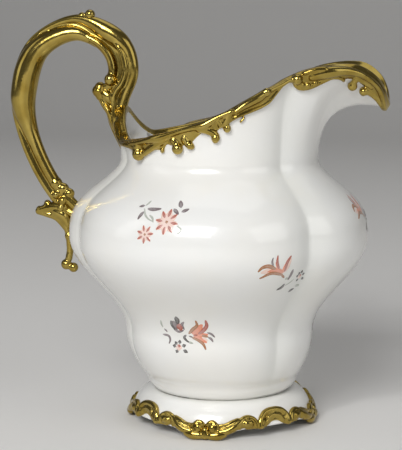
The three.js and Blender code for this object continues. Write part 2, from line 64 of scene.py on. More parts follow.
# Fineness of the meshes: columns round the axis, rows up a wall, points along a line and sides of a section
BODY_COLUMNS = 300
BODY_ROWS = 84
LIP_ROWS = 40
FOOT_COLUMNS = 240
FOOT_ROWS = 26
RIM_COLUMNS = 720
FOOT_BAND_COLUMNS = 480
CURVE_STEPS = 24
POINTS_PER_KNOT = 12
LOOP_STATIONS = 240
STROKE_POINTS = 16
SCROLL_SIDES = 12
PLANE_SIDES = 16
LOOP_SIDES = 20
STROKE_SIDES = 12
BALL_SIDES = 20
BALL_RINGS = 11
# Rings that close a ball and round the ends of a strand, in degrees
BALL_STEEPEST = 75
END_RINGS = (75, 50, 25)

# Melted relief: how it is softened, and how far a groove lies below the ridges beside it, in millimetres
SOFTEN_SHARE = 0.5
SOFTEN_ROUNDS = 8
RECESS_ROUNDS = 3
RECESS_REACH = 0.25

# Lobes of the body: creases at these angles from the spout, sunk by shares of the radius
SPOUT_CREASE = 42
HANDLE_CREASE = 155
HANDLE_CREASE_SHARE = 0.65
CREASE_ROUND = 2.0
CREASE_POWER = 4
CREASE_SHARES = (0.014, 0.066, 0.095, 0.072)
CREASE_AT_RIM = 0.02
# How strongly painted shade darkens the creases
CREASE_SHADE_SHARE = 0.9
LEAN_TO_HANDLE = 0.03
SHOULDER_SHARPNESS = 1.55

# Rings of the body's floor, inside and underneath: share of the radius, and lift as a share of the floor
FLOOR_RINGS = ((1.0, 0.55), (0.94, 0.16), (0.8, 0.0), (0.4, 0.0))
BASE_RINGS = (0.5, 0.8, 0.985)

# The rim by angle from the spout: how far it flares past the neck and rises above it, in millimetres
RIM_STATIONS = (
    (0, 19.4, 15.2), (8, 19.0, 19.8), (13, 16.9, 24.6), (20, 12.2, 26.6), (30, 6.4, 26.2),
    (38, 2.4, 24.3), (44, 1.5, 22.4), (60, 1.1, 19.1), (90, 1.4, 11.3), (125, 1.3, 6.2), (148, 1.0, 4.9),
    (166, 1.0, 10.6), (180, 1.0, 14.5),
)
RIM_FLARE = tuple((angle, flare * MM) for angle, flare, rise in RIM_STATIONS)
RIM_RISE = tuple((angle, rise * MM) for angle, flare, rise in RIM_STATIONS)

# The stations are evened out over a few degrees either way, but not at the tip of the spout
BLUR_REACH = 5
BLUR_FULL_FROM = 14
BLUR_SAMPLES = 7

# How the wall bends from the neck to the rim: low rise, high rise and high flare, as shares
SPOUT_BEND = (0.8, 1.18, 0.3)
SIDE_BEND = (0.4, 0.75, 0.4)
SPOUT_BEND_ENDS = 26
# Climbs on the lip: the lowest, the steps down to it, and one just below the rim
LOWEST_LIP = 0.8
LIP_STEPS = 61
NEAR_RIM = 1.97

# The rounded top of the rim: its height as a share of the lip, and how much is left by angle from the spout
CROWN_SHARE = 1 / 3
RIM_CROWN = ((0, 1), (6, 0.85), (13, 0.4), (22, 0.4), (40, 1), (180, 1))

# The gilded band: depth of its ground below the rim by angle from the spout, in millimetres
BAND_GROUND = (
    (0, 1.4), (5.5, 2.4), (8, 3.4), (11, 4.2), (13.5, 3.8), (16.5, 4.4), (19, 3.7), (22, 3.4),
    (25.5, 3.8), (30, 5.0), (33.5, 4.7), (36, 3.6), (38, 2.0), (40, 0.8), (43, 0.3), (47, 0.3),
    (51, 1.6), (56, 2.6), (64, 2.4), (74, 1.8), (78, 3.0), (81, 2.7), (84, 3.2), (87, 2.2), (90, 1.8),
    (92.5, 2.2), (97, 3.4), (104, 3.5), (108, 2.6), (110.5, 1.9), (113, 3.2), (120, 2.7), (131, 3.0),
    (137, 2.0), (141, 0.8), (147, 0.4), (165, 0.9), (180, 1.2),
)
# Its section: how its edges turn in and thin out, where it is full and swells by shares of its depth,
# how its cap rounds over the rim, and how it tapers inside, deeper as far as these angles from the spout
EDGE_TUCK = 0.2 * MM
EDGE_GROUND = 0.4
GROUND_FULL_AT = 0.8
BULGE_AT = 0.1
BAND_BULGE = 0.2 * MM
CAP_FRONT = 0.6
CAP_MIDDLE = 0.45
CAP_BACK = 0.5
BAND_TAPER = 0.1 * MM
SPOUT_INSIDE_FULL = 16
SPOUT_INSIDE_ENDS = 40

# Scrolls of the rim's relief: points of (angle, drop below the rim, half width)
RIM_SCROLLS = (
    ((166, 0.4, 0.8), (150, 0.0, 0.75), (143, -0.2, 0.8), (137, 0.3, 1.0), (133, 0.9, 1.2)),
    ((130.6, 0.9, 1.4), (131.4, 2.4, 1.95), (131.9, 3.4, 1.6)),
    ((126.5, 3.2, 0.9), (121, 2.1, 0.95), (116, 1.2, 0.9), (111, 0.7, 0.7)),
    ((137, -0.5, 0.5), (126, -0.5, 0.7), (118, -0.7, 1.15), (113, -0.5, 1.3), (107, -0.8, 0.8),
     (100, -0.9, 0.7), (94, -0.6, 0.9), (90, -0.1, 1.3), (87, -0.4, 1.1), (84.5, -0.8, 0.8),
     (80, -0.8, 0.7), (76, -0.5, 0.8)),
    ((106, 1.2, 1.0), (104.8, 2.6, 1.3), (104.5, 4.0, 1.55)),
    ((100, 1.6, 0.9), (98.4, 3.4, 1.05), (96.4, 4.5, 0.95)),
    ((91.5, 0.2, 1.2), (88.5, 1.3, 1.1), (84.8, 3.0, 1.1), (83.3, 4.4, 1.1), (83.6, 5.1, 1.1)),
    ((81.8, 0.6, 0.6), (81.2, 1.7, 0.65)),
    ((75.6, -0.5, 0.9), (77.6, 0.9, 1.0), (78.2, 2.2, 1.0), (77.4, 3.9, 1.0)),
    ((76, 2.0, 0.45), (74.5, 1.8, 0.5), (70.5, 2.0, 0.5), (64, 2.5, 0.55), (58.5, 2.8, 0.5),
     (54, 2.4, 0.5), (50.5, 1.0, 0.5), (47, -0.4, 0.55), (44, -0.8, 0.6), (41.5, -0.6, 0.6)),
    ((73.5, 0.3, 0.7), (70, -0.1, 0.95), (64, -0.2, 1.2), (60, -0.3, 1.25), (57.5, -0.7, 1.1)),
    ((56, -0.7, 0.6), (50, -0.8, 0.55), (45, -0.8, 0.55)),
    ((70.3, 3.9, 0.34), (68.4, 3.3, 0.34)),
    ((38.6, 1.6, 0.5), (36.4, 3.2, 0.7), (33.5, 4.3, 0.8), (30, 4.7, 0.75), (27, 4.1, 0.65),
     (24.5, 3.3, 0.55)),
    ((35, -0.6, 0.6), (32, -0.7, 0.75), (28, -0.5, 0.9)),
    ((31.4, 1.3, 1.2), (28.5, 1.1, 1.6), (25, 0.7, 1.7), (21.5, 0.4, 1.4), (17.5, 0.4, 1.0),
     (14, 0.3, 0.8), (12, 0.1, 0.75), (10, 0, 0.75), (8, 0, 0.75), (4, 0.1, 0.7), (0, 0.2, 0.7)),
    ((27, 3.7, 0.55), (25.5, 3.3, 0.6), (23, 2.8, 0.65), (20, 3.4, 0.6), (17.5, 4.7, 0.55)),
    ((14.2, 3.2, 0.8), (12.8, 5.2, 1.0), (11.8, 6.3, 1.1)),
    ((8.4, 4.3, 1.2), (7, 3.1, 0.75), (5.5, 2.0, 0.75), (2.8, 1.0, 0.75), (0, 0.5, 0.75)),
    ((15.2, 2.2, 0.5), (13, 2.8, 0.55), (11, 2.6, 0.5), (9.5, 2.0, 0.5)),
)
# How high a scroll stands, as a share of its half width
SCROLL_ROUNDNESS = 0.75
# Round knobs on the rim: (angle, drop, radius), lifted by shares of the ground and of the radius
RIM_BEADS = (
    (130.4, 3.1, 1.85), (113.4, 3.3, 0.7), (104.0, 3.9, 1.6), (97.2, 4.0, 1.15), (83.5, 4.6, 1.25),
    (77.6, 3.5, 1.15), (56.4, -0.8, 1.2), (38.0, 0.3, 1.5), (35.0, 3.0, 1.0), (32.0, 3.9, 0.9),
    (29.2, 3.9, 0.9), (12.0, 6.1, 1.45), (8.3, 4.8, 1.35),
)
BEAD_GROUND = 0.5
BEAD_LIFT = 0.35

# The roll of clay above the seam: (height above the seam, swell, reach), in millimetres
SEAM_ROLL = ((1.5, 0.38, 1.0), (3.9, -0.25, 1.0))
# The seam's section: out by shares of its depth and up by shares of its height
SEAM_SECTION = ((0, -0.1), (0.16, 0.3), (0.16, 0.7), (0, 1.1), (-8, 1.0), (-8, 0.0))

# The foot's arched edge by angle from a scroll foot, its roll, and its rings up the outside and inside
SCROLL_STEP = 90
ARCH_STARTS = 10
ARCH_LEVELS = 30
EDGE_ROLL = 0.4 * MM
FOOT_BUNCHING = 0.8
FOOT_INNER_RINGS = (0.98, 0.9, 0.7, 0.4, 0.1, 0)
FLANGE_SHARE = 0.86
# How far the foot's gilded band starts and ends above that edge, and how much it swells between
FOOT_GILT_LOW = (
    (0, -0.4), (17, -0.3), (20.5, 0.3), (23.5, 0.3), (26, -0.3), (36, -0.4), (39.5, 0.2), (43, 1.1),
    (45, 1.2),
)
FOOT_GILT_HIGH = (
    (0, 1.6), (9, 1.6), (15, 1.8), (20, 2.0), (27, 2.0), (32, 1.3), (36, 2.3), (41, 3.4), (45, 3.7),
)
FOOT_GILT_SWELL = 1.6
# Scrolls of the foot's relief: points of (angle from a scroll foot, height, half width)
FOOT_SCROLLS = (
    ((9.0, 2.3, 1.0), (13, 2.6, 1.15), (17.5, 3.6, 1.15), (21.5, 4.8, 0.9)),
    ((7.6, 4.0, 0.5), (12, 4.2, 0.55), (16.5, 5.0, 0.6), (20, 5.5, 0.6)),
    ((20.7, 3.3, 0.6), (21.5, 4.9, 0.75), (24.5, 5.8, 0.8), (28, 5.8, 0.8), (31, 4.9, 0.75),
     (31.8, 3.3, 0.6)),
    ((25.4, 4.4, 1.2), (27.4, 4.4, 1.2)),
    ((34.0, 3.2, 0.7), (34.8, 4.9, 0.8), (37.6, 6.4, 0.9), (41.5, 7.0, 0.95), (45, 7.1, 0.95)),
    ((38.8, 4.2, 0.5), (40.8, 5.4, 0.6), (45, 5.9, 0.65)),
    ((37.0, 5.0, 0.5), (36.2, 4.0, 0.55), (35.4, 3.0, 0.5)),
    ((4.0, 3.2, 1.0), (4.6, 3.7, 1.0)),
    ((1.2, 4.2, 0.55), (2.6, 4.8, 0.65), (4.8, 4.8, 0.75), (6.6, 4.0, 0.75), (6.4, 2.9, 0.7),
     (4.6, 2.4, 0.65), (3.2, 2.9, 0.5)),
)
SCROLL_FEET = (("spout", 0), ("left", 90), ("handle", 180), ("right", 270))
SCROLL_FOOT_LOBES = (
    ((3.4, 1.3, 1.2), (7.6, 1.4, 1.45), (11.2, 1.7, 1.1)),
    ((0, 1.2, 1.1), (0, 2.8, 1.0)),
)

# The handle's loop, as shares of its reach out from the stem and of its rise from root to crown
LOOP_POINTS = (
    (0.42, 0.1), (0.195, 0.265), (0.03, 0.48), (0, 0.67), (0.16, 0.895), (0.58, 1), (0.96, 0.915),
    (1.05, 0.785), (0.98, 0.655), (0.95, 0.55), (1, 0.45),
)
LOOP_END_RISE = 0.36
# Thickness of the loop by share of its length, in millimetres
LOOP_THICKNESS = (
    (0, 6.0), (0.12, 6.0), (0.28, 6.4), (0.43, 8.0), (0.56, 7.4), (0.76, 9.2), (0.88, 7.4), (1, 2.6),
)

# Strands along the loop, by share of its length: half widths in millimetres
INNER_STRAND = (
    (0, 1.6), (0.08, 1.65), (0.16, 1.75), (0.26, 1.95), (0.31, 2.5), (0.35, 3.3), (0.39, 3.85),
    (0.44, 3.95), (0.48, 3.7), (0.52, 3.25), (0.56, 2.8), (0.62, 2.25), (0.66, 1.6), (0.69, 1),
)
LIMB_STRAND = ((0.04, 1.1), (0.1, 1.2), (0.2, 1.2), (0.28, 1.15), (0.34, 1), (0.42, 0.8))
OUTER_STRAND = (
    (0.38, 0.7), (0.5, 0.65), (0.56, 0.85), (0.62, 1.3), (0.66, 2.1), (0.7, 2.8), (0.73, 2.6),
    (0.76, 2.1), (0.8, 1.9), (0.88, 1.9), (0.92, 1.8), (1, 1.2),
)
LOOP_CORE = ((0, 1.6), (0.2, 1.8), (0.43, 2.2), (0.6, 2.6), (0.76, 3.4), (0.88, 2.6), (1, 1.2))
# Where an outer strand rises out of the loop, how deep the core is, and how deep a strand is for its width
STRAND_RISES = 0.06
CORE_DEPTH = 0.7
STRAND_DEPTH = 0.96

# Strands in the plane of the handle: points of (out from the axis, up, half width), in millimetres
HOOK_STRAND = (
    (-40.3, 112.4, 1.2), (-37.5, 110.9, 1.45), (-35.3, 109, 1.45), (-33.6, 106.5, 1.45),
    (-32.8, 103.7, 1.45), (-32.8, 101.9, 1.45), (-33.6, 100, 1.6),
)
WRAP_STRAND = (
    (-32.5, 111.5, 0.4), (-30.7, 109.5, 0.65), (-29.5, 107.2, 0.85), (-28.9, 104.9, 0.95),
    (-28.8, 102, 0.95), (-29.8, 99, 1), (-31.3, 97, 0.95), (-32.2, 94.9, 0.85), (-32.1, 92.9, 0.75),
)
LEAF_BALL = ((-36.7, 97.5, 1.8), (-36.9, 96.6, 2.25), (-36.5, 95.2, 1.7))
LEAF_WEB = ((-36.2, 96.6, 1.3), (-34.5, 95.1, 1.8), (-32.8, 93.4, 1.5))
LEAF_BRIDGE = ((-35.8, 97.6, 1.1), (-34.2, 98.0, 1.3), (-32.0, 98.6, 1.3))
STEM_CORE = (
    (-31.4, 96.4, 1.9), (-31.2, 94.0, 2.0), (-31.0, 91.0, 1.9), (-30.6, 88.0, 1.9), (-30.3, 85.0, 1.8),
    (-29.6, 82.0, 1.6), (-29.0, 79.6, 1.3),
)
STEM_STRAND = (
    (-36.7, 94.6, 0.9), (-35.2, 92.2, 1.05), (-33.9, 90.5, 1.15), (-33.3, 88.6, 1.05),
    (-32.2, 86.0, 1.0), (-30.8, 84.0, 0.9), (-29.0, 82.6, 0.8),
)
STEM_RIB = (
    (-32.9, 95.6, 0.7), (-32.4, 93.6, 0.8), (-32.1, 91.1, 0.8), (-31.7, 88.7, 0.95), (-31.8, 87.0, 0.8),
)
SPUR_STRAND = ((-48.4, 61.6, 1.9), (-51.0, 61.7, 1.7), (-53.6, 61.3, 1.4), (-56.2, 60.4, 1.0))
SPUR_LEAF = (
    (-56.4, 60.0, 0.7), (-53.5, 59.5, 1.0), (-50.6, 58.6, 1.1), (-48.7, 56.6, 0.95), (-47.5, 54.7, 0.7),
)
SPUR_WEB = ((-50.4, 60.4, 1.9), (-48.4, 59.2, 1.9), (-47.0, 56.6, 1.4))
TAIL_STRAND = (
    (-47.6, 56.4, 1.2), (-47.0, 53.9, 1.0), (-46.6, 50.9, 1.05), (-46.5, 48.7, 1.05), (-46.9, 46.2, 1.1),
)
# Those of the handle itself, with their depth for their width, and those that lie on both its faces
HANDLE_STRANDS = (
    (HOOK_STRAND, 1.4),
    (LEAF_WEB, 1.0),
    (LEAF_BRIDGE, 1.0),
    (STEM_CORE, 0.75),
    (STEM_STRAND, 1.5),
)
FACE_STRANDS = (WRAP_STRAND, STEM_RIB)
FACE_BESIDE = 1.9

# Knobs of the handle: (out from the axis, up, radius), in its plane or beside it on both faces
THUMB_BEADS = ((-42.0, 118.4, 1.25), (-39.6, 118.9, 1.55))
ROOT_BEADS = ((-50.6, 68.9, 1.95), (-48.4, 67.3, 1.8), (-46.5, 65.9, 1.6))
SPUR_BEADS = ((-53.3, 62.7, 1.15), (-55.8, 60.9, 1.1))
TAIL_BEADS = ((-46.7, 53.0, 1.4), (-47.7, 44.4, 1.65), (-45.5, 43.5, 1.5))
ROOT_KNUCKLES = ((-50.2, 65.6, 1.2), (-48.2, 63.8, 1.3), (-48.8, 61.6, 1.2))
ROOT_BESIDE = 1.3
HOOK_BALL = ((-33.3, 100.0, 1.8),)
HOOK_BESIDE = 1.4

# Painted sprigs: angle from the spout and height of each, with its turn
DAISY_SPRIGS = ((-100.7, 63.8, 0), (112, 62, 8))
TULIP_SPRIGS = ((-55.5, 49.4, 0), (-2, 62.5, 0), (66, 53, 20))
BUD_SPRIGS = ((-98.1, 30.3, 0), (88, 31, -15), (14, 28, 30))

# Brush strokes of the sprigs: paint, width, then points across and up from its place, in millimetres
DAISY_LEAVES = (
    ("grey", 1.25, (-6.9, 2.95), (-5.0, 2.9), (-3.1, 3.1)),
    ("grey", 0.95, (-8.8, 3.6), (-10.2, 3.35)),
    ("grey", 1.05, (-8.1, 2.05), (-8.5, 1.15), (-8.8, 0.35)),
    ("pale", 0.6, (-8.3, 3.7), (-7.9, 4.2), (-7.5, 4.8)),
    ("pale", 0.5, (-8.2, 2.9), (-7.1, 1.5), (-5.8, 0.6), (-4.3, 0)),
    ("pale", 0.6, (-5.6, 1.4), (-4.5, 0.8), (-3.9, -0.2)),
    ("grey", 1.3, (3.0, 3.75), (2.3, 5.1)),
    ("grey", 1.1, (3.8, 2.65), (5.4, 3.3)),
    ("grey", 1.1, (1.2, 3.2), (2.7, 2.1)),
    ("pale", 0.55, (3.3, -0.9), (4.5, -1.9), (3.5, -2.9)),
)
TULIP_STROKES = (
    ("wash", 2.2, (-0.4, 0.4), (-3.6, 1.2), (-6.6, 0.9)),
    ("wash", 1.8, (0.1, 0.6), (0.9, 2.6), (1.7, 3.9)),
    ("coral", 1.5, (-0.6, 0.5), (-3.0, 1.3), (-5.0, 1.0)),
    ("coral", 0.9, (-1.8, 1.4), (-2.9, 3.4)),
    ("coral", 0.9, (-0.5, 0.4), (0.1, 2.8)),
    ("brown", 1.15, (-2.7, 1.5), (-5.1, 2.6), (-6.8, 2.25), (-7.7, 1.3)),
    ("brown", 1.05, (-0.4, -0.3), (-3.8, 0.5), (-7.0, -0.8)),
    ("grey", 0.6, (-3.7, 2.6), (-4.1, 3.7), (-3.9, 4.8)),
    ("red", 0.8, (-1.9, 1.6), (-2.6, 3.5), (-2.5, 5.3)),
    ("red", 1.0, (0.1, 0.8), (0.6, 3.3), (1.7, 4.8)),
    ("brown", 0.7, (-0.5, -0.4), (0.5, -1.2)),
    ("pale", 0.9, (1.2, -1.6), (1.9, -1.7)),
    ("grey", 1.0, (3.1, 0.8), (2.8, -0.6), (2.3, -2.0)),
    ("dark", 1.1, (1.4, -3.4), (0.9, -4.3), (-0.4, -4.9)),
    ("dark", 1.2, (5.0, -6.1), (6.6, -5.5)),
    ("pale", 1.0, (7.0, -4.5), (8.7, -4.7)),
    ("pale", 0.5, (4.6, -2.2), (3.4, -3.2), (2.1, -3.8)),
)
BUD_STROKES = (
    ("wash", 1.8, (3.0, -0.8), (5.0, -1.6)),
    ("coral", 2.0, (0.9, 0.5), (2.4, 1.7), (3.5, 3.2)),
    ("coral", 1.5, (1.2, 0.0), (3.2, 0.1), (4.8, 0.3)),
    ("coral", 1.5, (1.2, -0.4), (3.4, -1.4), (4.4, -2.0)),
    ("brown", 1.05, (-0.3, 0.4), (0.9, 1.7), (2.3, 3.1), (2.2, 4.5)),
    ("red", 1.2, (2.4, 0.3), (3.9, 1.6), (4.9, 3.1), (4.8, 4.7)),
    ("brown", 0.85, (3.3, 0.1), (5.0, -0.4)),
    ("grey", 0.7, (5.0, 0.9), (6.0, 0.5), (6.9, -0.4)),
    ("grey", 0.7, (5.1, -0.5), (5.9, -1.0), (6.4, -1.8)),
    ("brown", 0.95, (0.5, -0.8), (2.4, -1.6), (3.6, -2.6), (4.3, -4.0)),
    ("red", 0.6, (1.0, -0.1), (2.2, 0.1)),
    ("grey", 0.5, (0.6, -0.7), (-0.4, -0.4)),
    ("dark", 0.75, (-1.3, -0.2), (-1.9, -0.9), (-1.4, -1.7), (-0.7, -2.2)),
    ("pale", 0.7, (-0.7, -2.2), (0.5, -2.5)),
    ("grey", 2.2, (-4.1, 3.7), (-4.0, 1.5)),
    ("red", 2.2, (-2.9, 3.2), (-2.6, 1.4)),
    ("dark", 0.9, (-4.7, 4.0), (-4.9, 2.6), (-4.4, 1.3)),
    ("dark", 1.5, (-2.8, 5.4), (-2.9, 4.2), (-3.1, 3.2)),
    ("grey", 0.85, (-1.2, 3.9), (-1.9, 3.0), (-1.6, 1.6)),
    ("grey", 0.8, (-4.6, 1.3), (-3.4, 0.7), (-1.9, 1.2)),
    ("pale", 0.6, (-8.0, 3.7), (-8.3, 2.5), (-8.2, 1.6)),
    ("grey", 0.6, (-7.8, 1.1), (-7.1, 0.3)),
    ("grey", 0.75, (-8.7, -0.7), (-6.8, -1.0), (-6.5, -2.1), (-6.9, -3.1)),
)
# Round flowers of a daisy sprig: place, count of petals, where they start and end, and their turn
DAISIES = (((0, 0), 8, 1.35, 3.1, -7), ((-5.6, -3.5), 7, 0.9, 2.35, 8))
# A daisy's petals, the wash under them and its heart, as shares of the reach of a petal
PETAL_WIDTH = 0.25
WASH_STARTS = 0.2
WASH_ENDS = 0.95
WASH_WIDTH = 0.6
HEART_REACH = 0.08
HEART_WIDTH = 0.3
HEART_AIM = 20
# Small dark flowers: place and size on two of the sprigs, and the places of the petals about the heart
TULIP_FLOWER = ((7.0, -1.7), 0.95)
BUD_FLOWER = ((-3.75, -4.0), 1.1)
DARK_PETALS = ((-0.8, 1.1), (0.3, 1.5), (1.5, 0.6), (1.9, -0.9), (-0.6, -1.1), (-1.3, 0.3))
DARK_PETAL_ENDS = (0.75, 1.2)
DARK_PETAL_WIDTH = 0.95
DARK_WASH = (0.6, 1.7)
DARK_HEART = (0.3, 0.8)
DARK_HEART_AT = (0.1, 0.4)
# A stroke's width at its ends, as a share, and how full it is between
STROKE_END = 0.45
STROKE_FULLNESS = 0.8
# How far each enamel stands off the glaze, the lower ones first, and how thick a stroke is, in millimetres
PAINT_LIFTS = {
    "wash": -0.02,
    "coral": 0.0,
    "pale": 0.005,
    "grey": 0.015,
    "brown": 0.02,
    "red": 0.02,
    "dark": 0.03,
}
PAINT_DEPTH = 0.05

# The glaze: sizes of its clouds, patches, ripples and waves, and the space between specks
GLAZE_CLOUD = 22 * MM
GLAZE_PATCH = 7 * MM
GLAZE_RIPPLE = 1.6 * MM
GLAZE_WAVE = 0.05 * MM
SPECK_SPACING = 13 * MM
# Where its clouds and specks start and end, how strongly specks and the painted crease shade tint it, and
# its gloss
CLOUD_EDGES = (0.3, 0.7)
SPECK_EDGES = (0.012, 0.026)
SPECK_TINT = 0.55
CREASE_SHADE_TINT = 0.4
RIPPLE_SHARE = 0.25
GLAZE_ROUGHNESS = 0.16
GLAZE_UNEVENNESS = 0.1
GLAZE_COAT = {"coat_weight": 0.7, "coat_roughness": 0.07}

# The gold: sizes of its patches, brush marks and waves
GOLD_PATCH = 5 * MM
GOLD_BRUSHING = 1.2 * MM
BRUSHED_ALONG = (1, 1, 0.35)
BRUSHED_SHARE = 0.5
GOLD_WAVE = 0.05 * MM
# Where its patches, hollows and ridges start and end, how strongly the painted shade in the hollows and the
# painted highlight on the ridges tint it, and how rough they are
PATCH_EDGES = (0.3, 0.75)
HOLLOW_EDGES = (0.52, 0.9)
RIDGE_EDGES = (0.1, 0.45)
PATCHY_HOLLOWS = 0.2
HOLLOW_SHADE_TINT = 0.9
RIDGE_HIGHLIGHT_TINT = 0.5
GOLD_ROUGHNESS = 0.13
PATCH_ROUGHNESS = 0.06
HOLLOW_ROUGHNESS = 0.2
RIDGE_POLISH = 0.03

# The enamel: its grain, where a stroke is full of paint, and its gloss
ENAMEL_GRAIN = 0.6 * MM
LOAD_ALONG = 0.5
LOAD_AT_EDGE = 0.5
LOAD_GRAIN = 0.8
LOAD_EDGES = (0.05, 0.75)
ENAMEL_ROUGHNESS = 0.2
ENAMEL_UNEVENNESS = 0.2
ENAMEL_COAT = {"coat_weight": 0.6, "coat_roughness": 0.06}
# The glaze's white that shows through thin enamel, and how much of it
GLAZE_WHITE = 0.86
THIN_SHARE = 0.25

# The slip: sizes of its mottling, of the stretches between the painted seam shade, of its grain and waves,
# and how rough it is
SLIP_MOTTLE = 2.4 * MM
SLIP_STRETCH = 12 * MM
SLIP_GRAIN = 0.6 * MM
SLIP_WAVE = 0.08 * MM
# How far the mottling frays the painted seam shade, and where that shade gives way to unshaded slip
MOTTLE_SHARE = 0.3
UNSHADED_EDGES = (0.45, 0.62)
SLIP_ROUGHNESS = 0.55
SLIP_UNEVENNESS = 0.3

# The studio, in metres: the sweep of floor and backdrop, and the lights by place, width and height
SWEEP_FRONT = -1.6
SWEEP_BACK = 1.0
SWEEP_BEND = 0.7
SWEEP_HEIGHT = 2.2
SWEEP_REACH = 2.4
SWEEP_STEPS = 19
SWEEP_ROUGHNESS = 0.6
LIGHTS = (
    ("key", (-0.15, -1.1, 0.8), (0.6, 0.6)),
    ("fill", (0.95, -0.45, 0.5), (0.8, 0.8)),
    ("top", (0.05, 0.3, 1.1), (0.8, 0.8)),
    ("strip", (-1.05, -0.45, 0.6), (0.3, 1.0)),
    ("sparkle", (-0.25, -0.75, 0.55), (0.06, 0.06)),
)
LIGHT_AIM = (0, 0, 0.06)
CAMERA_CLIP = 0.01


def lerp(start, end, share):
    """Between two values by a share."""
    return start + (end - start) * share


def ease(value, low, high):
    """Rises smoothly from 0 at low to 1 at high."""
    share = np.clip((value - low) / (high - low), 0, 1)
    return share * share * (3 - 2 * share)


def unit(vectors):
    """Vectors of length 1."""
    return vectors / np.linalg.norm(vectors, axis=-1, keepdims=True)


def through(stations, position):
    """A smooth curve through (position, value) stations that never overshoots them."""
    x, y = np.array(stations, float).T
    width = np.diff(x)
    slope = np.diff(y) / width
    before, after = slope[:-1], slope[1:]
    turning = before * after <= 0
    inner = np.where(turning, 0, 2 * before * after / np.where(turning, 1, before + after))
    tangent = np.concatenate([[0], inner, [0]])
    at = np.clip(position, x[0], x[-1])
    i = np.clip(np.searchsorted(x, at, side="right") - 1, 0, len(width) - 1)
    u = (at - x[i]) / width[i]
    rise = (y[i + 1] - y[i]) * u * u * (3 - 2 * u)
    lead_in = u * (1 - u) ** 2 * width[i] * tangent[i]
    lead_out = u * u * (u - 1) * width[i] * tangent[i + 1]
    return y[i] + rise + lead_in + lead_out


def trail(points, count):
    """A smooth curve through points, as count points at even steps along it."""
    knots = np.array(points, float)
    ends = np.vstack([2 * knots[0] - knots[1], knots, 2 * knots[-1] - knots[-2]])
    share = np.linspace(0, 1, CURVE_STEPS, endpoint=False)[:, None]
    pieces = []
    for a, b, c, d in zip(ends, ends[1:], ends[2:], ends[3:]):
        start, middle, finish = (np.sqrt(np.linalg.norm(q - p)) for p, q in ((a, b), (b, c), (c, d)))
        leave = (c - b) - middle * ((c - a) / (start + middle) - (b - a) / start)
        arrive = (c - b) + middle * ((d - c) / finish - (d - b) / (middle + finish))
        curve = b + leave * share + (3 * (c - b) - 2 * leave - arrive) * share ** 2
        pieces.append(curve + (2 * (b - c) + leave + arrive) * share ** 3)
    fine = np.vstack([*pieces, knots[-1:]])
    run = np.concatenate([[0], np.cumsum(np.linalg.norm(np.diff(fine, axis=0), axis=1))])
    even = np.linspace(0, run[-1], count)
    return np.stack([np.interp(even, run, column) for column in fine.T], 1)


def softened(stations, away):
    """A curve through stations by angle from the spout, evened out over a few degrees."""
    reach = BLUR_REACH * ease(away, 0, BLUR_FULL_FROM)
    turns = np.linspace(-1, 1, BLUR_SAMPLES)
    return sum(through(stations, from_spout(away + turn * reach)) for turn in turns) / len(turns)


def from_spout(angle):
    """The angle from the spout, 0 to 180 degrees on either side."""
    turned = np.mod(angle, 360)
    return np.minimum(turned, 360 - turned)


def around(angle, radius, height):
    """Points at a radius and height round the axis."""
    turn = np.radians(angle)
    return np.stack(np.broadcast_arrays(radius * np.cos(turn), radius * np.sin(turn), height), -1)


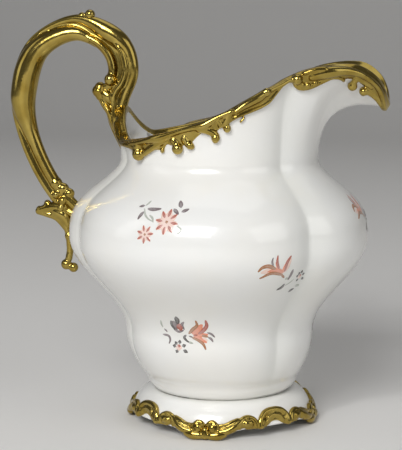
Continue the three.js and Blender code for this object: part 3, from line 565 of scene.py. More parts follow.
class Wall:
    """The lobed wall, by angle from the spout and climb: 0 at the foot, 1 at the neck, 2 at the rim."""

    def __init__(self, sizes):
        self.sizes = sizes
        self.foot_z = sizes.foot_height
        self.waist_z = self.foot_z + sizes.waist_rise
        self.belly_z = self.waist_z + sizes.belly_rise
        self.neck_z = self.belly_z + sizes.neck_rise
        levels = (self.foot_z, self.waist_z, self.belly_z, self.neck_z)
        self.crease_depths = tuple(zip(levels, CREASE_SHARES))

    def profile(self, z):
        """The mean radius below the neck."""
        sizes = self.sizes
        low = np.clip((z - self.foot_z) / sizes.waist_rise, 0, 1)
        middle = np.clip((z - self.waist_z) / sizes.belly_rise, 0, 1)
        top = np.clip((z - self.belly_z) / sizes.neck_rise, 0, 1)
        radius = lerp(sizes.joint_radius, sizes.waist_radius, np.sin(low * np.pi / 2))
        radius += (sizes.belly_radius - sizes.waist_radius) * (1 - np.cos(middle * np.pi)) / 2
        top = top ** SHOULDER_SHARPNESS
        radius += (sizes.neck_radius - sizes.belly_radius) * (1 - np.cos(top * np.pi)) / 2
        climbed = (z - self.foot_z) / MM
        rolls = sum(swell * np.exp(-(((climbed - at) / reach) ** 2)) for at, swell, reach in SEAM_ROLL)
        return radius + rolls * MM

    @staticmethod
    def crease(angle):
        """1 on a crease, falling to 0 in the middle of a lobe."""
        away = from_spout(angle)
        edges = np.array([-SPOUT_CREASE, SPOUT_CREASE, HANDLE_CREASE, 360 - HANDLE_CREASE])
        lobe = np.clip(np.searchsorted(edges, away, side="right") - 1, 0, 2)
        reach = (edges[lobe + 1] - edges[lobe]) / 2
        distance = reach - np.abs(away - edges[lobe] - reach)
        rounded = np.minimum(np.hypot(distance, CREASE_ROUND), reach)
        towards_handle = ease(away, SPOUT_CREASE, HANDLE_CREASE)
        depth = lerp(1, HANDLE_CREASE_SHARE, towards_handle)
        return ((reach - rounded) / reach) ** CREASE_POWER * depth

    def outline(self, angle, climb):
        """Radius and height of the outer face."""
        angle, climb = np.broadcast_arrays(np.asarray(angle, float), np.asarray(climb, float))
        away = from_spout(angle)
        z = lerp(self.foot_z, self.neck_z, np.minimum(climb, 1))
        lean = LEAN_TO_HANDLE * ease(z, self.foot_z, self.waist_z)
        sway = 1 - lean * np.cos(np.radians(angle))
        crease = self.crease(angle)
        radius = self.profile(z) * sway * (1 - through(self.crease_depths, z) * crease)
        rise = softened(RIM_RISE, away)
        rim = (self.sizes.neck_radius * sway + softened(RIM_FLARE, away)) * (1 - CREASE_AT_RIM * crease)
        side = ease(away, 0, SPOUT_BEND_ENDS)
        low_rise, high_rise, high_flare = (lerp(a, b, side) for a, b in zip(SPOUT_BEND, SIDE_BEND))
        u = np.clip(climb - 1, 0, 1)
        weights = (1 - u) ** 3, 3 * u * (1 - u) ** 2, 3 * u * u * (1 - u), u ** 3
        radii = radius, radius, radius + (rim - radius) * high_flare, rim
        heights = [self.neck_z + rise * share for share in (0, low_rise, high_rise, 1)]
        above = climb > 1
        bent_radius = sum(w * r for w, r in zip(weights, radii))
        bent_height = sum(w * h for w, h in zip(weights, heights))
        return np.where(above, bent_radius, radius), np.where(above, bent_height, z)

    def face(self, angle, climb):
        """Points on the outer face."""
        return around(angle, *self.outline(angle, climb))

    def normal(self, angle, climb):
        """Directions out of the outer face."""
        turn, step = 0.3, 0.004
        sideways = self.face(angle + turn, climb) - self.face(angle - turn, climb)
        above, below = np.minimum(climb + step, 2), np.maximum(climb - step, 0)
        return unit(np.cross(sideways, self.face(angle, above) - self.face(angle, below)))

    def place(self, angle, climb, lift=0.0):
        """Points off the outer face by a lift, inside the wall if it is negative."""
        return self.face(angle, climb) + self.normal(angle, climb) * np.asarray(lift)[..., None]

    def climb_at(self, z):
        """The climb of a height below the neck."""
        return (z - self.foot_z) / (self.neck_z - self.foot_z)

    def below_rim(self, angle, drop):
        """The climb a distance down the face from the rim."""
        steps = np.linspace(2, LOWEST_LIP, LIP_STEPS)
        radius, z = self.outline(angle[:, None], steps[None])
        run = np.hypot(np.diff(radius, axis=1), np.diff(z, axis=1))
        run = np.concatenate([np.zeros((len(angle), 1)), np.cumsum(run, axis=1)], axis=1)
        return np.array([np.interp(d, row, steps) for d, row in zip(drop, run)])

    def lip(self, angle, drop, lift):
        """Points a drop below the rim, or above it if the drop is negative, off the face by a lift."""
        angle, drop, lift = np.broadcast_arrays(*(np.asarray(v, float) for v in (angle, drop, lift)))
        points = self.place(angle, self.below_rim(angle, np.maximum(drop, 0)), lift)
        upward = unit(self.face(angle, 2.0) - self.face(angle, NEAR_RIM))
        return points + upward * np.maximum(-drop, 0)[:, None]


class FootDome:
    """The foot's outer face, by angle from the spout and height."""

    def __init__(self, sizes):
        self.sizes = sizes
        self.top = sizes.foot_height - sizes.seam_height

    @staticmethod
    def from_scroll(angle):
        """The angle from the nearest scroll foot."""
        half = SCROLL_STEP / 2
        return np.abs(np.mod(np.asarray(angle, float) + half, SCROLL_STEP) - half)

    def edge(self, angle):
        """The height of the lower edge, which arches between the scroll feet."""
        lifted = ease(self.from_scroll(angle), ARCH_STARTS, ARCH_LEVELS)
        return self.sizes.scroll_foot_height + self.sizes.arch_rise * lifted

    def radius(self, z):
        """The outer radius: a quarter of an ellipse from the seam down."""
        share = np.clip(z / self.top, 0, 1)
        return lerp(self.sizes.joint_radius, self.sizes.foot_radius, np.sqrt(1 - share * share))

    def place(self, angle, z, lift=0.0):
        """Points off the outer face by a lift."""
        step = 0.05 * MM
        slope = (self.radius(z + step) - self.radius(z - step)) / (2 * step)
        steep = np.hypot(1, slope)
        return around(angle, self.radius(z) + lift / steep, z - lift * slope / steep)

    def normal(self, angle, z):
        """Directions out of the outer face."""
        return unit(self.place(angle, z, MM) - self.place(angle, z))


class Shell:
    """A closed surface: points and faces."""

    def __init__(self, rings, start=None, end=None, looped=False):
        rings = np.asarray(rings, float)
        rows, columns = rings.shape[:2]
        index = np.arange(rows * columns).reshape(rows, columns)
        low = index if looped else index[:-1]
        high = np.roll(index, -1, axis=0) if looped else index[1:]
        quads = np.stack([low, np.roll(low, -1, 1), np.roll(high, -1, 1), high], -1).reshape(-1, 4)
        self.points = rings.reshape(-1, 3)
        self.faces = quads.tolist()
        for pole, row, turned in ((start, index[0], True), (end, index[-1], False)):
            if pole is not None:
                tip = len(self.points)
                self.points = np.vstack([self.points, pole])
                pairs = zip(row.tolist(), np.roll(row, -1).tolist())
                self.faces += [(b, a, tip) if turned else (a, b, tip) for a, b in pairs]


def strand(path, normal, half_width, half_height, sides):
    """A closed strand along a path with round ends, wide along the surface and high along the normal."""
    cap = np.radians(END_RINGS)
    rows = np.pad(np.arange(len(path)), len(cap), mode="edge")
    ahead = np.concatenate([-np.sin(cap), np.zeros(len(path)), np.sin(cap[::-1])])
    shrink = np.concatenate([np.cos(cap), np.ones(len(path)), np.cos(cap[::-1])])
    tangent = unit(np.gradient(path, axis=0))[rows]
    side = unit(np.cross(tangent, np.broadcast_to(normal, path.shape)[rows]))
    high = np.cross(side, tangent)
    width = np.broadcast_to(half_width, len(path))[rows]
    height = np.broadcast_to(half_height, len(path))[rows]
    centre = path[rows] + tangent * width[:, None] * ahead[:, None]
    turn = np.linspace(0, 2 * np.pi, sides, endpoint=False)
    across = side[:, None] * np.outer(width * shrink, np.cos(turn))[..., None]
    upright = high[:, None] * np.outer(height * shrink, np.sin(turn))[..., None]
    tips = path[0] - tangent[0] * width[0], path[-1] + tangent[-1] * width[-1]
    return Shell(centre[:, None] + across + upright, *tips)


def ball(centre, radius):
    """A closed ball."""
    rise = np.radians(np.linspace(-BALL_STEEPEST, BALL_STEEPEST, BALL_RINGS))[:, None]
    turn = np.linspace(0, 2 * np.pi, BALL_SIDES, endpoint=False)
    out, up = np.cos(rise), np.sin(rise)
    rings = np.stack(np.broadcast_arrays(out * np.cos(turn), out * np.sin(turn), up), -1)
    poles = (centre + np.array((0, 0, side)) * radius for side in (-1, 1))
    return Shell(centre + rings * radius, *poles)


def scroll(path, normal, half_width, gilt):
    """A strand of the gilded relief, higher where it is wider."""
    half_height = half_width * SCROLL_ROUNDNESS + gilt.relief / 2
    return strand(path, normal, half_width, half_height, SCROLL_SIDES)


def new_mesh(name, shells):
    """A Blender mesh of shells that are placed about the creamer's axis."""
    points = np.vstack([shell.points for shell in shells]) + (AXIS_X, 0, 0)
    starts = np.cumsum([0, *(len(shell.points) for shell in shells)])
    faces = [[v + start for v in face] for shell, start in zip(shells, starts) for face in shell.faces]
    mesh = bpy.data.meshes.new(name)
    mesh.from_pydata(points.tolist(), [], faces)
    work = bmesh.new()
    work.from_mesh(mesh)
    bmesh.ops.recalc_face_normals(work, faces=work.faces)
    work.to_mesh(mesh)
    work.free()
    mesh.shade_smooth()
    return mesh


def new_piece(name, mesh, material, nodes=()):
    """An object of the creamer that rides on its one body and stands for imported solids."""
    piece = bpy.data.objects.new(name, mesh)
    bpy.context.scene.collection.objects.link(piece)
    mesh.materials.clear()
    mesh.materials.append(material)
    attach(piece, "root")
    if nodes:
        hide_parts(*nodes)


def fused(name, shells, voxel):
    """One mesh of overlapping shells, melted together and softened as cast relief is."""
    rough = bpy.data.objects.new(name, new_mesh(name, shells))
    bpy.context.scene.collection.objects.link(rough)
    melt = rough.modifiers.new("Melt", "REMESH")
    melt.mode = "VOXEL"
    melt.voxel_size = voxel
    melt.use_smooth_shade = True
    soften = rough.modifiers.new("Soften", "SMOOTH")
    soften.factor = SOFTEN_SHARE
    soften.iterations = SOFTEN_ROUNDS
    graph = bpy.context.evaluated_depsgraph_get()
    mesh = bpy.data.meshes.new_from_object(rough.evaluated_get(graph))
    bpy.data.objects.remove(rough)
    mesh.name = name
    if not len(mesh.vertices):
        raise RuntimeError(f"{name} melted away")
    mesh.shade_smooth()
    return mesh


def store(mesh, name, values):
    """Keeps a value for each point of a mesh, for its material to read."""
    attribute = mesh.attributes.new(name, "FLOAT", "POINT")
    attribute.data.foreach_set("value", np.asarray(values, np.float32))


def vectors(mesh, kind):
    """The places, co, or the directions, normal, of a mesh's points as an array."""
    flat = np.zeros(len(mesh.vertices) * 3, np.float32)
    mesh.vertices.foreach_get(kind, flat)
    return flat.reshape(-1, 3).astype(float)


def store_recess(mesh):
    """Keeps how deep each point lies in the relief: 0.5 on a flat, 1 in a groove, 0 on a ridge."""
    points, normals = vectors(mesh, "co"), vectors(mesh, "normal")
    pairs = np.zeros(len(mesh.edges) * 2, np.int32)
    mesh.edges.foreach_get("vertices", pairs)
    a, b = pairs.reshape(-1, 2).T
    count = np.bincount(np.concatenate([a, b]), minlength=len(points)).clip(1)

    def mean(values):
        total = np.zeros_like(values)
        np.add.at(total, a, values[b])
        np.add.at(total, b, values[a])
        return total / count.reshape(-1, *[1] * (values.ndim - 1))

    spread = points
    for _ in range(RECESS_ROUNDS):
        spread = mean(spread)
    hollow = np.einsum("ij,ij->i", spread - points, normals)
    for _ in range(RECESS_ROUNDS):
        hollow = (hollow + mean(hollow)) / 2
    store(mesh, "recess", np.clip(0.5 + hollow / (2 * RECESS_REACH * MM), 0, 1))


class Socket:
    """An output of a shader node. Arithmetic on it adds Math nodes."""

    def __init__(self, shader, link):
        self.shader = shader
        self.link = link

    def __add__(self, other):
        return self.shader.maths("ADD", self, other)

    def __radd__(self, other):
        return self.shader.maths("ADD", other, self)

    def __sub__(self, other):
        return self.shader.maths("SUBTRACT", self, other)

    def __rsub__(self, other):
        return self.shader.maths("SUBTRACT", other, self)

    def __mul__(self, other):
        return self.shader.maths("MULTIPLY", self, other)

    def __rmul__(self, other):
        return self.shader.maths("MULTIPLY", other, self)


class Shader:
    """A material's nodes round one Principled BSDF."""

    def __init__(self, name, **settings):
        self.material = bpy.data.materials.new(name)
        self.material.use_nodes = True
        self.tree = self.material.node_tree
        self.surface = self.tree.nodes["Principled BSDF"]
        self.where = self.node("ShaderNodeTexCoord", output="Object")
        self.dress(**settings)

    def dress(self, **values):
        """Links or sets inputs of the surface by their names."""
        for name, value in values.items():
            self.feed(self.surface.inputs[name.replace("_", " ").title()], value)

    def feed(self, socket, value):
        """Links a socket to another, or sets its value."""
        if isinstance(value, Socket):
            self.tree.links.new(value.link, socket)
        elif hasattr(value, "__len__") and len(value) == 3 and socket.type == "RGBA":
            socket.default_value = (*value, 1)
        else:
            socket.default_value = value

    def node(self, kind, settings=None, inputs=None, output=0):
        """Adds a node of a kind, with its settings and the values or links of its sockets."""
        node = self.tree.nodes.new(kind)
        for key, value in (settings or {}).items():
            setattr(node, key, value)
        for key, value in (inputs or {}).items():
            self.feed(node.inputs[key], value)
        return Socket(self, node.outputs[output])

    def maths(self, operation, first, second):
        """A Math node on two values."""
        return self.node("ShaderNodeMath", {"operation": operation}, {0: first, 1: second})

    def blend(self, share, first, second):
        """Two colours mixed by a share."""
        return self.node("ShaderNodeMix", {"data_type": "RGBA"}, {0: share, 6: first, 7: second}, output=2)

    def noise(self, size, detail=3.0, stretch=(1, 1, 1)):
        """Cloudy variation whose patches are about a size across, from 0 to 1."""
        where = self.node("ShaderNodeVectorMath", {"operation": "MULTIPLY"}, {0: self.where, 1: stretch})
        return self.node("ShaderNodeTexNoise", None, {"Vector": where, "Scale": 1 / size, "Detail": detail})

    def attribute(self, name):
        """A value kept on the mesh."""
        return self.node("ShaderNodeAttribute", {"attribute_name": name}, output="Fac")

    def step(self, value, low, high):
        """Rises smoothly from 0 to 1 as a value goes from low to high."""
        limits = {"Value": value, "From Min": low, "From Max": high}
        return self.node("ShaderNodeMapRange", {"interpolation_type": "SMOOTHSTEP"}, limits)

    def wear(self, height, depth):
        """Bumps the surface by a height from 0 to 1, over a depth."""
        bump = self.node("ShaderNodeBump", None, {"Height": height, "Distance": depth, "Strength": 1.0})
        self.dress(normal=bump)


def glazed_porcelain(finish):
    """White glazed porcelain: clouded glaze, darkened to a greenish grey by painted shade in the creases,
    with a few iron specks.
    """
    shader = Shader("glazed_porcelain", **GLAZE_COAT)
    cloud = shader.noise(GLAZE_CLOUD)
    crease_shade = shader.attribute("pooling")
    tone = shader.blend(shader.step(cloud, *CLOUD_EDGES), finish.porcelain, finish.porcelain_warm)
    # Painted shade: the creases are darkened to a greenish grey
    tone = shader.blend(crease_shade * CREASE_SHADE_TINT, tone, finish.glaze_pool)
    cells = {"Vector": shader.where, "Scale": 1 / SPECK_SPACING}
    spot = shader.node("ShaderNodeTexVoronoi", None, cells)
    speck = (1 - shader.step(spot, *SPECK_EDGES)) * SPECK_TINT
    tone = shader.blend(speck, tone, finish.speck)
    ripple = shader.noise(GLAZE_RIPPLE, detail=2.0)
    rough = GLAZE_ROUGHNESS + GLAZE_UNEVENNESS * shader.noise(GLAZE_PATCH)
    shader.dress(base_color=tone, roughness=rough)
    shader.wear(ripple * RIPPLE_SHARE + cloud * (1 - RIPPLE_SHARE), GLAZE_WAVE)
    return shader.material


def burnished_gold(finish):
    """Gold over porcelain with painted shade in the hollows and a painted highlight on the ridges, brushed
    and a little worn.
    """
    shader = Shader("burnished_gold", metallic=1.0)
    recess = shader.attribute("recess")
    patch = shader.noise(GOLD_PATCH)
    brushed = shader.noise(GOLD_BRUSHING, detail=2.0, stretch=BRUSHED_ALONG)
    hollow = shader.step(recess + PATCHY_HOLLOWS * (patch - 0.5), *HOLLOW_EDGES)
    ridge = 1 - shader.step(recess, *RIDGE_EDGES)
    tone = shader.blend(shader.step(patch, *PATCH_EDGES), finish.gold, finish.gold_deep)
    # Painted shade in the hollows, then a painted highlight on the ridges
    tone = shader.blend(hollow * HOLLOW_SHADE_TINT, tone, finish.gold_shadow)
    tone = shader.blend(ridge * RIDGE_HIGHLIGHT_TINT, tone, finish.gold_bright)
    rough = GOLD_ROUGHNESS + PATCH_ROUGHNESS * patch + HOLLOW_ROUGHNESS * hollow - RIDGE_POLISH * ridge
    shader.dress(base_color=tone, roughness=rough)
    shader.wear(brushed * BRUSHED_SHARE + patch * (1 - BRUSHED_SHARE), GOLD_WAVE)
    return shader.material


def enamel(name, thick):
    """Painted enamel, fuller at the edges and the end of each stroke, where the brush left it."""
    shader = Shader(name, **ENAMEL_COAT)
    grain = shader.noise(ENAMEL_GRAIN)
    load = LOAD_ALONG * shader.attribute("along") + LOAD_AT_EDGE * shader.attribute("edge")
    load += LOAD_GRAIN * (grain - 0.5)
    thin = tuple(lerp(shade, GLAZE_WHITE, THIN_SHARE) for shade in thick)
    tone = shader.blend(shader.step(load, *LOAD_EDGES), thin, thick)
    shader.dress(base_color=tone, roughness=ENAMEL_ROUGHNESS + ENAMEL_UNEVENNESS * grain)
    return shader.material


def fired_slip(finish):
    """Bare slip in the seam, painted dark with the shade of its groove over some stretches and paler over
    others.
    """
    shader = Shader("fired_slip")
    mottle = shader.noise(SLIP_MOTTLE)
    stretch = shader.noise(SLIP_STRETCH)
    # Painted shade: the slip colour darkens the seam as the shade in its groove
    unshaded = shader.step(stretch + MOTTLE_SHARE * (mottle - 0.5), *UNSHADED_EDGES)
    tone = shader.blend(unshaded, finish.slip, finish.slip_pale)
    shader.dress(base_color=tone, roughness=SLIP_ROUGHNESS + SLIP_UNEVENNESS * mottle)
    shader.wear(shader.noise(SLIP_GRAIN), SLIP_WAVE)
    return shader.material


def shared_finish(context, make):
    """A finish that pieces share, made once under the name of the function that makes it."""
    return bpy.data.materials.get(make.__name__) or make(context.scene.creamer_finish)


def length(name, description, default):
    """A size that a user would change, given in millimetres."""
    settings = {"default": default * MM, "unit": "LENGTH", "precision": 5}
    return FloatProperty(name=name, description=description, **settings)


def colour(name, description, default):
    """A colour that a user would change."""
    settings = {"default": default, "subtype": "COLOR", "min": 0, "max": 1}
    return FloatVectorProperty(name=name, description=description, **settings)


def watts(name, description, default):
    """The power of a light, in watts."""
    return FloatProperty(name=name, description=description, default=default, unit="POWER")


def position(name, description, default):
    """A place measured from the creamer's axis."""
    settings = {"default": default, "subtype": "XYZ", "unit": "LENGTH", "precision": 5}
    return FloatVectorProperty(name=name, description=description, **settings)


class CreamerSizes(bpy.types.PropertyGroup):
    """Sizes of the porcelain."""

    foot_height: length("Foot height", "Height of the seam under the body", BODY_LOW.z / MM)
    belly_radius: length("Belly radius", "Mean radius of the belly", BODY_HIGH.y / MM - BELLY_CLEARANCE)
    waist_rise: length("Waist rise", "From the seam up to the waist", 17)
    belly_rise: length("Belly rise", "From the waist up to the belly", 27.7)
    neck_rise: length("Neck rise", "From the belly up to the neck", 22.8)
    joint_radius: length("Seam radius", "Radius where the body meets the foot", 20.4)
    waist_radius: length("Waist radius", "Radius of the lower body", 27.6)
    neck_radius: length("Neck radius", "Radius of the neck", 28.9)
    wall: length("Wall", "Thickness of the body", 2.8)
    lip_wall: length("Lip wall", "Thickness at the rim", 2.2)
    floor: length("Floor", "Thickness of the body's floor", 3.2)
    foot_radius: length("Foot radius", "Radius of the foot where it meets the table", 27)
    foot_wall: length("Foot wall", "Thickness of the foot", 2.8)
    foot_flange: length("Flange", "Width of the flange under the body", 4.9)
    seam_height: length("Seam height", "Height of the seam between the body and the foot", 0.34)
    seam_depth: length("Seam depth", "How far the seam lies in from the wall", 0.45)
    arch_rise: length("Arch rise", "How far the foot's edge lifts between the scroll feet", 1.2)
    scroll_foot_height: length("Scroll foot height", "Height of the foot's edge at the scroll feet", 2.0)


class GiltSizes(bpy.types.PropertyGroup):
    """Sizes of the gilded relief."""

    ground: length("Ground", "How far the gilded ground stands off the porcelain", 0.35)
    relief: length("Relief", "How far the scrolls stand off the ground", 0.5)
    sunk: length("Sunk", "How far the gilded pieces reach into the porcelain", 0.6)
    rim_cap: length("Rim cap", "How far the band stands above the rim", 1.0)
    rim_inside: length("Rim inside", "How far the band reaches down inside the rim", 1.5)
    spout_inside: length("Spout inside", "How far the band reaches down inside the spout", 4.2)
    handle_reach: length("Handle reach", "How far the loop stands out past the belly", 16.4)
    crown_rise: length("Crown rise", "How far the loop rises above the neck", 37.6)
    root_rise: length("Root rise", "How far above the belly the loop springs", 3.0)
    voxel: length("Melt size", "Finest detail kept where strands melt together", 0.21)


class CreamerFinish(bpy.types.PropertyGroup):
    """Colours of the finish."""

    porcelain: colour("Porcelain", "Glazed porcelain", (0.86, 0.86, 0.84))
    porcelain_warm: colour("Warm porcelain", "Patches where the glaze is thicker", (0.86, 0.85, 0.81))
    # Painted shade laid into the creases of the body
    glaze_pool: colour("Crease shade", "Shade painted into the creases", (0.70, 0.72, 0.66))
    speck: colour("Speck", "Iron specks in the glaze", (0.42, 0.38, 0.33))
    gold: colour("Gold", "Burnished gold", (0.46, 0.345, 0.09))
    gold_deep: colour("Deep gold", "Gold where it is thicker", (0.34, 0.235, 0.045))
    # Painted highlight on the ridges of the relief
    gold_bright: colour("Gold highlight", "Highlight painted on the ridges", (0.72, 0.57, 0.26))
    # Painted shade in the hollows of the relief
    gold_shadow: colour("Gold shadow", "Gold in the hollows of the relief", (0.12, 0.07, 0.015))
    enamel_wash: colour("Wash", "Thin pink under the petals", (0.86, 0.62, 0.53))
    enamel_coral: colour("Coral", "Coral enamel of the petals", (0.78, 0.26, 0.14))
    enamel_pale: colour("Pale leaf", "Pale green enamel of the stems", (0.40, 0.43, 0.36))
    enamel_grey: colour("Leaf grey", "Purple grey enamel of the leaves", (0.16, 0.115, 0.12))
    enamel_brown: colour("Brown", "Orange brown enamel of the outlines", (0.38, 0.14, 0.03))
    enamel_red: colour("Iron red", "Iron red enamel of the petals", (0.42, 0.085, 0.045))
    enamel_dark: colour("Dark leaf", "Nearly black enamel", (0.05, 0.042, 0.035))
    # Painted shade: the slip colour darkens the seam as the shade in its groove
    slip: colour("Slip", "Slip painted dark with the seam's shade", (0.10, 0.10, 0.07))
    slip_pale: colour("Unshaded slip", "Slip between the painted seam shade", (0.55, 0.55, 0.50))


class CreamerStudio(bpy.types.PropertyGroup):
    """The plain studio."""

    sweep: colour("Sweep", "Floor and backdrop", (0.80, 0.79, 0.77))
    room: colour("Room", "Light from all round", (0.11, 0.11, 0.112))
    key_power: watts("Key light", "Power of the key light", 10.9)
    fill_power: watts("Fill light", "Power of the fill light", 2.2)
    top_power: watts("Top light", "Power of the top light", 1.6)
    strip_power: watts("Strip light", "Power of the tall light beside the handle", 0.9)
    sparkle_power: watts("Sparkle", "Power of the small light that sparkles on the gold", 1.1)
    camera_at: position("Camera", "Where the camera stands", (0.079467, -0.44173, 0.120))
    camera_aim: position("Aim", "Where the camera looks", (-0.0064, 0, 0.0574))
    lens: FloatProperty(name="Lens", description="Focal length", default=123.2, unit="CAMERA")


def gilded(context, name, shells, nodes):
    """A gilded piece melted from shells, with the hollows and ridges of its relief kept for the painted
    shade and highlight of its finish.
    """
    mesh = fused(name, shells, context.scene.creamer_gilt.voxel)
    points = vectors(mesh, "co")
    points[:, 2] = np.maximum(points[:, 2], 0)
    mesh.vertices.foreach_set("co", points.astype(np.float32).ravel())
    mesh.update()
    store_recess(mesh)
    new_piece(name, mesh, shared_finish(context, burnished_gold), nodes)


class CREAMER_OT_body(bpy.types.Operator):
    """Makes the lobed porcelain body with its pouring lip"""

    bl_idname = "creamer.body"
    bl_label = "Body"

    def execute(self, context):
        sizes = context.scene.creamer_sizes
        wall = Wall(sizes)
        angles = np.linspace(0, 360, BODY_COLUMNS, endpoint=False)
        climbs = np.concatenate([np.linspace(0, 1, BODY_ROWS), np.linspace(1, 2, LIP_ROWS)[1:]])
        outer = wall.place(*np.meshgrid(angles, climbs))
        # Painted shade in the creases, on every row of the outer wall
        pooling = [wall.crease(angles) * CREASE_SHADE_SHARE] * len(climbs)
        floor_z = sizes.foot_height + sizes.floor
        inner_climbs = climbs[climbs > wall.climb_at(floor_z + sizes.floor)][::-1]
        depth = lerp(sizes.wall, sizes.lip_wall, ease(inner_climbs, 1, 2))
        inner = wall.place(*np.meshgrid(angles, inner_climbs), -depth[:, None])
        crown = (outer[-1] + inner[0]) / 2
        crown[:, 2] += sizes.lip_wall * CROWN_SHARE * through(RIM_CROWN, from_spout(angles))
        floor_radius = wall.outline(angles, wall.climb_at(floor_z))[0] - sizes.wall
        floor = [around(angles, floor_radius * share, floor_z + sizes.floor * lift)
                 for share, lift in FLOOR_RINGS]
        base = [around(angles, sizes.joint_radius * share, sizes.foot_height) for share in BASE_RINGS]
        rings = [*base, *outer, crown, *inner, *floor]
        bottom, middle = (0, 0, sizes.foot_height), (0, 0, floor_z)
        mesh = new_mesh("porcelain_body", [Shell(rings, bottom, middle)])
        flat = np.zeros_like(angles)
        rows = [flat] * len(base) + pooling + [flat] * (1 + len(inner) + len(floor))
        store(mesh, "pooling", np.concatenate([np.concatenate(rows), [0, 0]]))
        glaze = shared_finish(context, glazed_porcelain)
        new_piece("porcelain_body", mesh, glaze, ["body"])
        return {"FINISHED"}


class CREAMER_OT_foot(bpy.types.Operator):
    """Makes the spread porcelain foot and the seam of slip above it"""

    bl_idname = "creamer.foot"
    bl_label = "Foot and seam"

    def execute(self, context):
        sizes = context.scene.creamer_sizes
        dome = FootDome(sizes)
        angles = np.linspace(0, 360, FOOT_COLUMNS, endpoint=False)
        edge = dome.edge(angles)
        under = dome.top - sizes.foot_wall * FLANGE_SHARE
        rows = np.linspace(0, 1, FOOT_ROWS) ** FOOT_BUNCHING
        outer = [dome.place(angles, lerp(edge, dome.top, share)) for share in rows]
        inner_radius = sizes.joint_radius - sizes.foot_flange
        flange = [around(angles, inner_radius, z) for z in (dome.top, under)]
        inner = []
        for share in FOOT_INNER_RINGS:
            z = lerp(edge, under, share)
            inner.append(around(angles, dome.radius(z + sizes.foot_wall * share) - sizes.foot_wall, z))
        rolled = around(angles, dome.radius(edge) - sizes.foot_wall / 2, edge - EDGE_ROLL)
        mesh = new_mesh("porcelain_foot", [Shell([*outer, *flange, *inner, rolled], looped=True)])
        # The foot has no painted crease shade
        store(mesh, "pooling", np.zeros(len(mesh.vertices)))
        glaze = shared_finish(context, glazed_porcelain)
        new_piece("porcelain_foot", mesh, glaze, ["foot"])

        seam_radius = sizes.joint_radius - sizes.seam_depth
        rings = [around(angles, seam_radius + out * sizes.seam_depth, dome.top + up * sizes.seam_height)
                 for out, up in SEAM_SECTION]
        mesh = new_mesh("foot_seam", [Shell(rings, looped=True)])
        new_piece("foot_seam", mesh, shared_finish(context, fired_slip), ["foot_lute"])
        return {"FINISHED"}


class CREAMER_OT_rim(bpy.types.Operator):
    """Makes the gilded band round the lip, with its scrolls, drops, shells and curls"""

    bl_idname = "creamer.rim"
    bl_label = "Rim gilding"

    def execute(self, context):
        sizes, gilt = context.scene.creamer_sizes, context.scene.creamer_gilt
        wall = Wall(sizes)
        angles = np.linspace(0, 360, RIM_COLUMNS, endpoint=False)
        away = from_spout(angles)
        depth = through(BAND_GROUND, away) * MM
        inside = -sizes.lip_wall - gilt.ground
        cap = gilt.rim_cap * through(RIM_CROWN, away)
        past_spout = ease(away, SPOUT_INSIDE_FULL, SPOUT_INSIDE_ENDS)
        inner_depth = lerp(gilt.spout_inside, gilt.rim_inside, past_spout)
        section = (
            (depth + EDGE_TUCK, -gilt.sunk),
            (depth, gilt.ground * EDGE_GROUND),
            (depth * GROUND_FULL_AT, gilt.ground),
            (depth * BULGE_AT, gilt.ground + BAND_BULGE),
            (-cap * CAP_FRONT, gilt.ground * EDGE_GROUND),
            (-cap, -sizes.lip_wall * CAP_MIDDLE),
            (-cap * CAP_BACK, -sizes.lip_wall),
            (0, inside),
            (inner_depth, inside + BAND_TAPER),
            (inner_depth + EDGE_TUCK, gilt.sunk - sizes.lip_wall),
        )
        shells = [Shell([wall.lip(angles, drop, lift) for drop, lift in section], looped=True)]
        for side in (1, -1):
            shells += [self.lip_scroll(wall, gilt, side, points) for points in RIM_SCROLLS]
            for angle, drop, radius in RIM_BEADS:
                lift = gilt.ground * BEAD_GROUND + BEAD_LIFT * radius * MM
                centre = wall.lip(np.array([side * angle]), drop * MM, lift)[0]
                shells.append(ball(centre, radius * MM))
        nodes = ["rim_band", "lip_shell_left", "lip_shell_right", "rim_curl_left", "rim_curl_right"]
        gilded(context, "rim_gilding", shells, nodes)
        return {"FINISHED"}

    @staticmethod
    def lip_scroll(wall, gilt, side, points):
        """One scroll of the relief along the lip."""
        angle, drop, width = trail(points, POINTS_PER_KNOT * len(points)).T
        angle, drop, width = side * angle, drop * MM, width * MM
        normal = wall.normal(angle, wall.below_rim(angle, np.maximum(drop, 0)))
        return scroll(wall.lip(angle, drop, gilt.ground), normal, width, gilt)


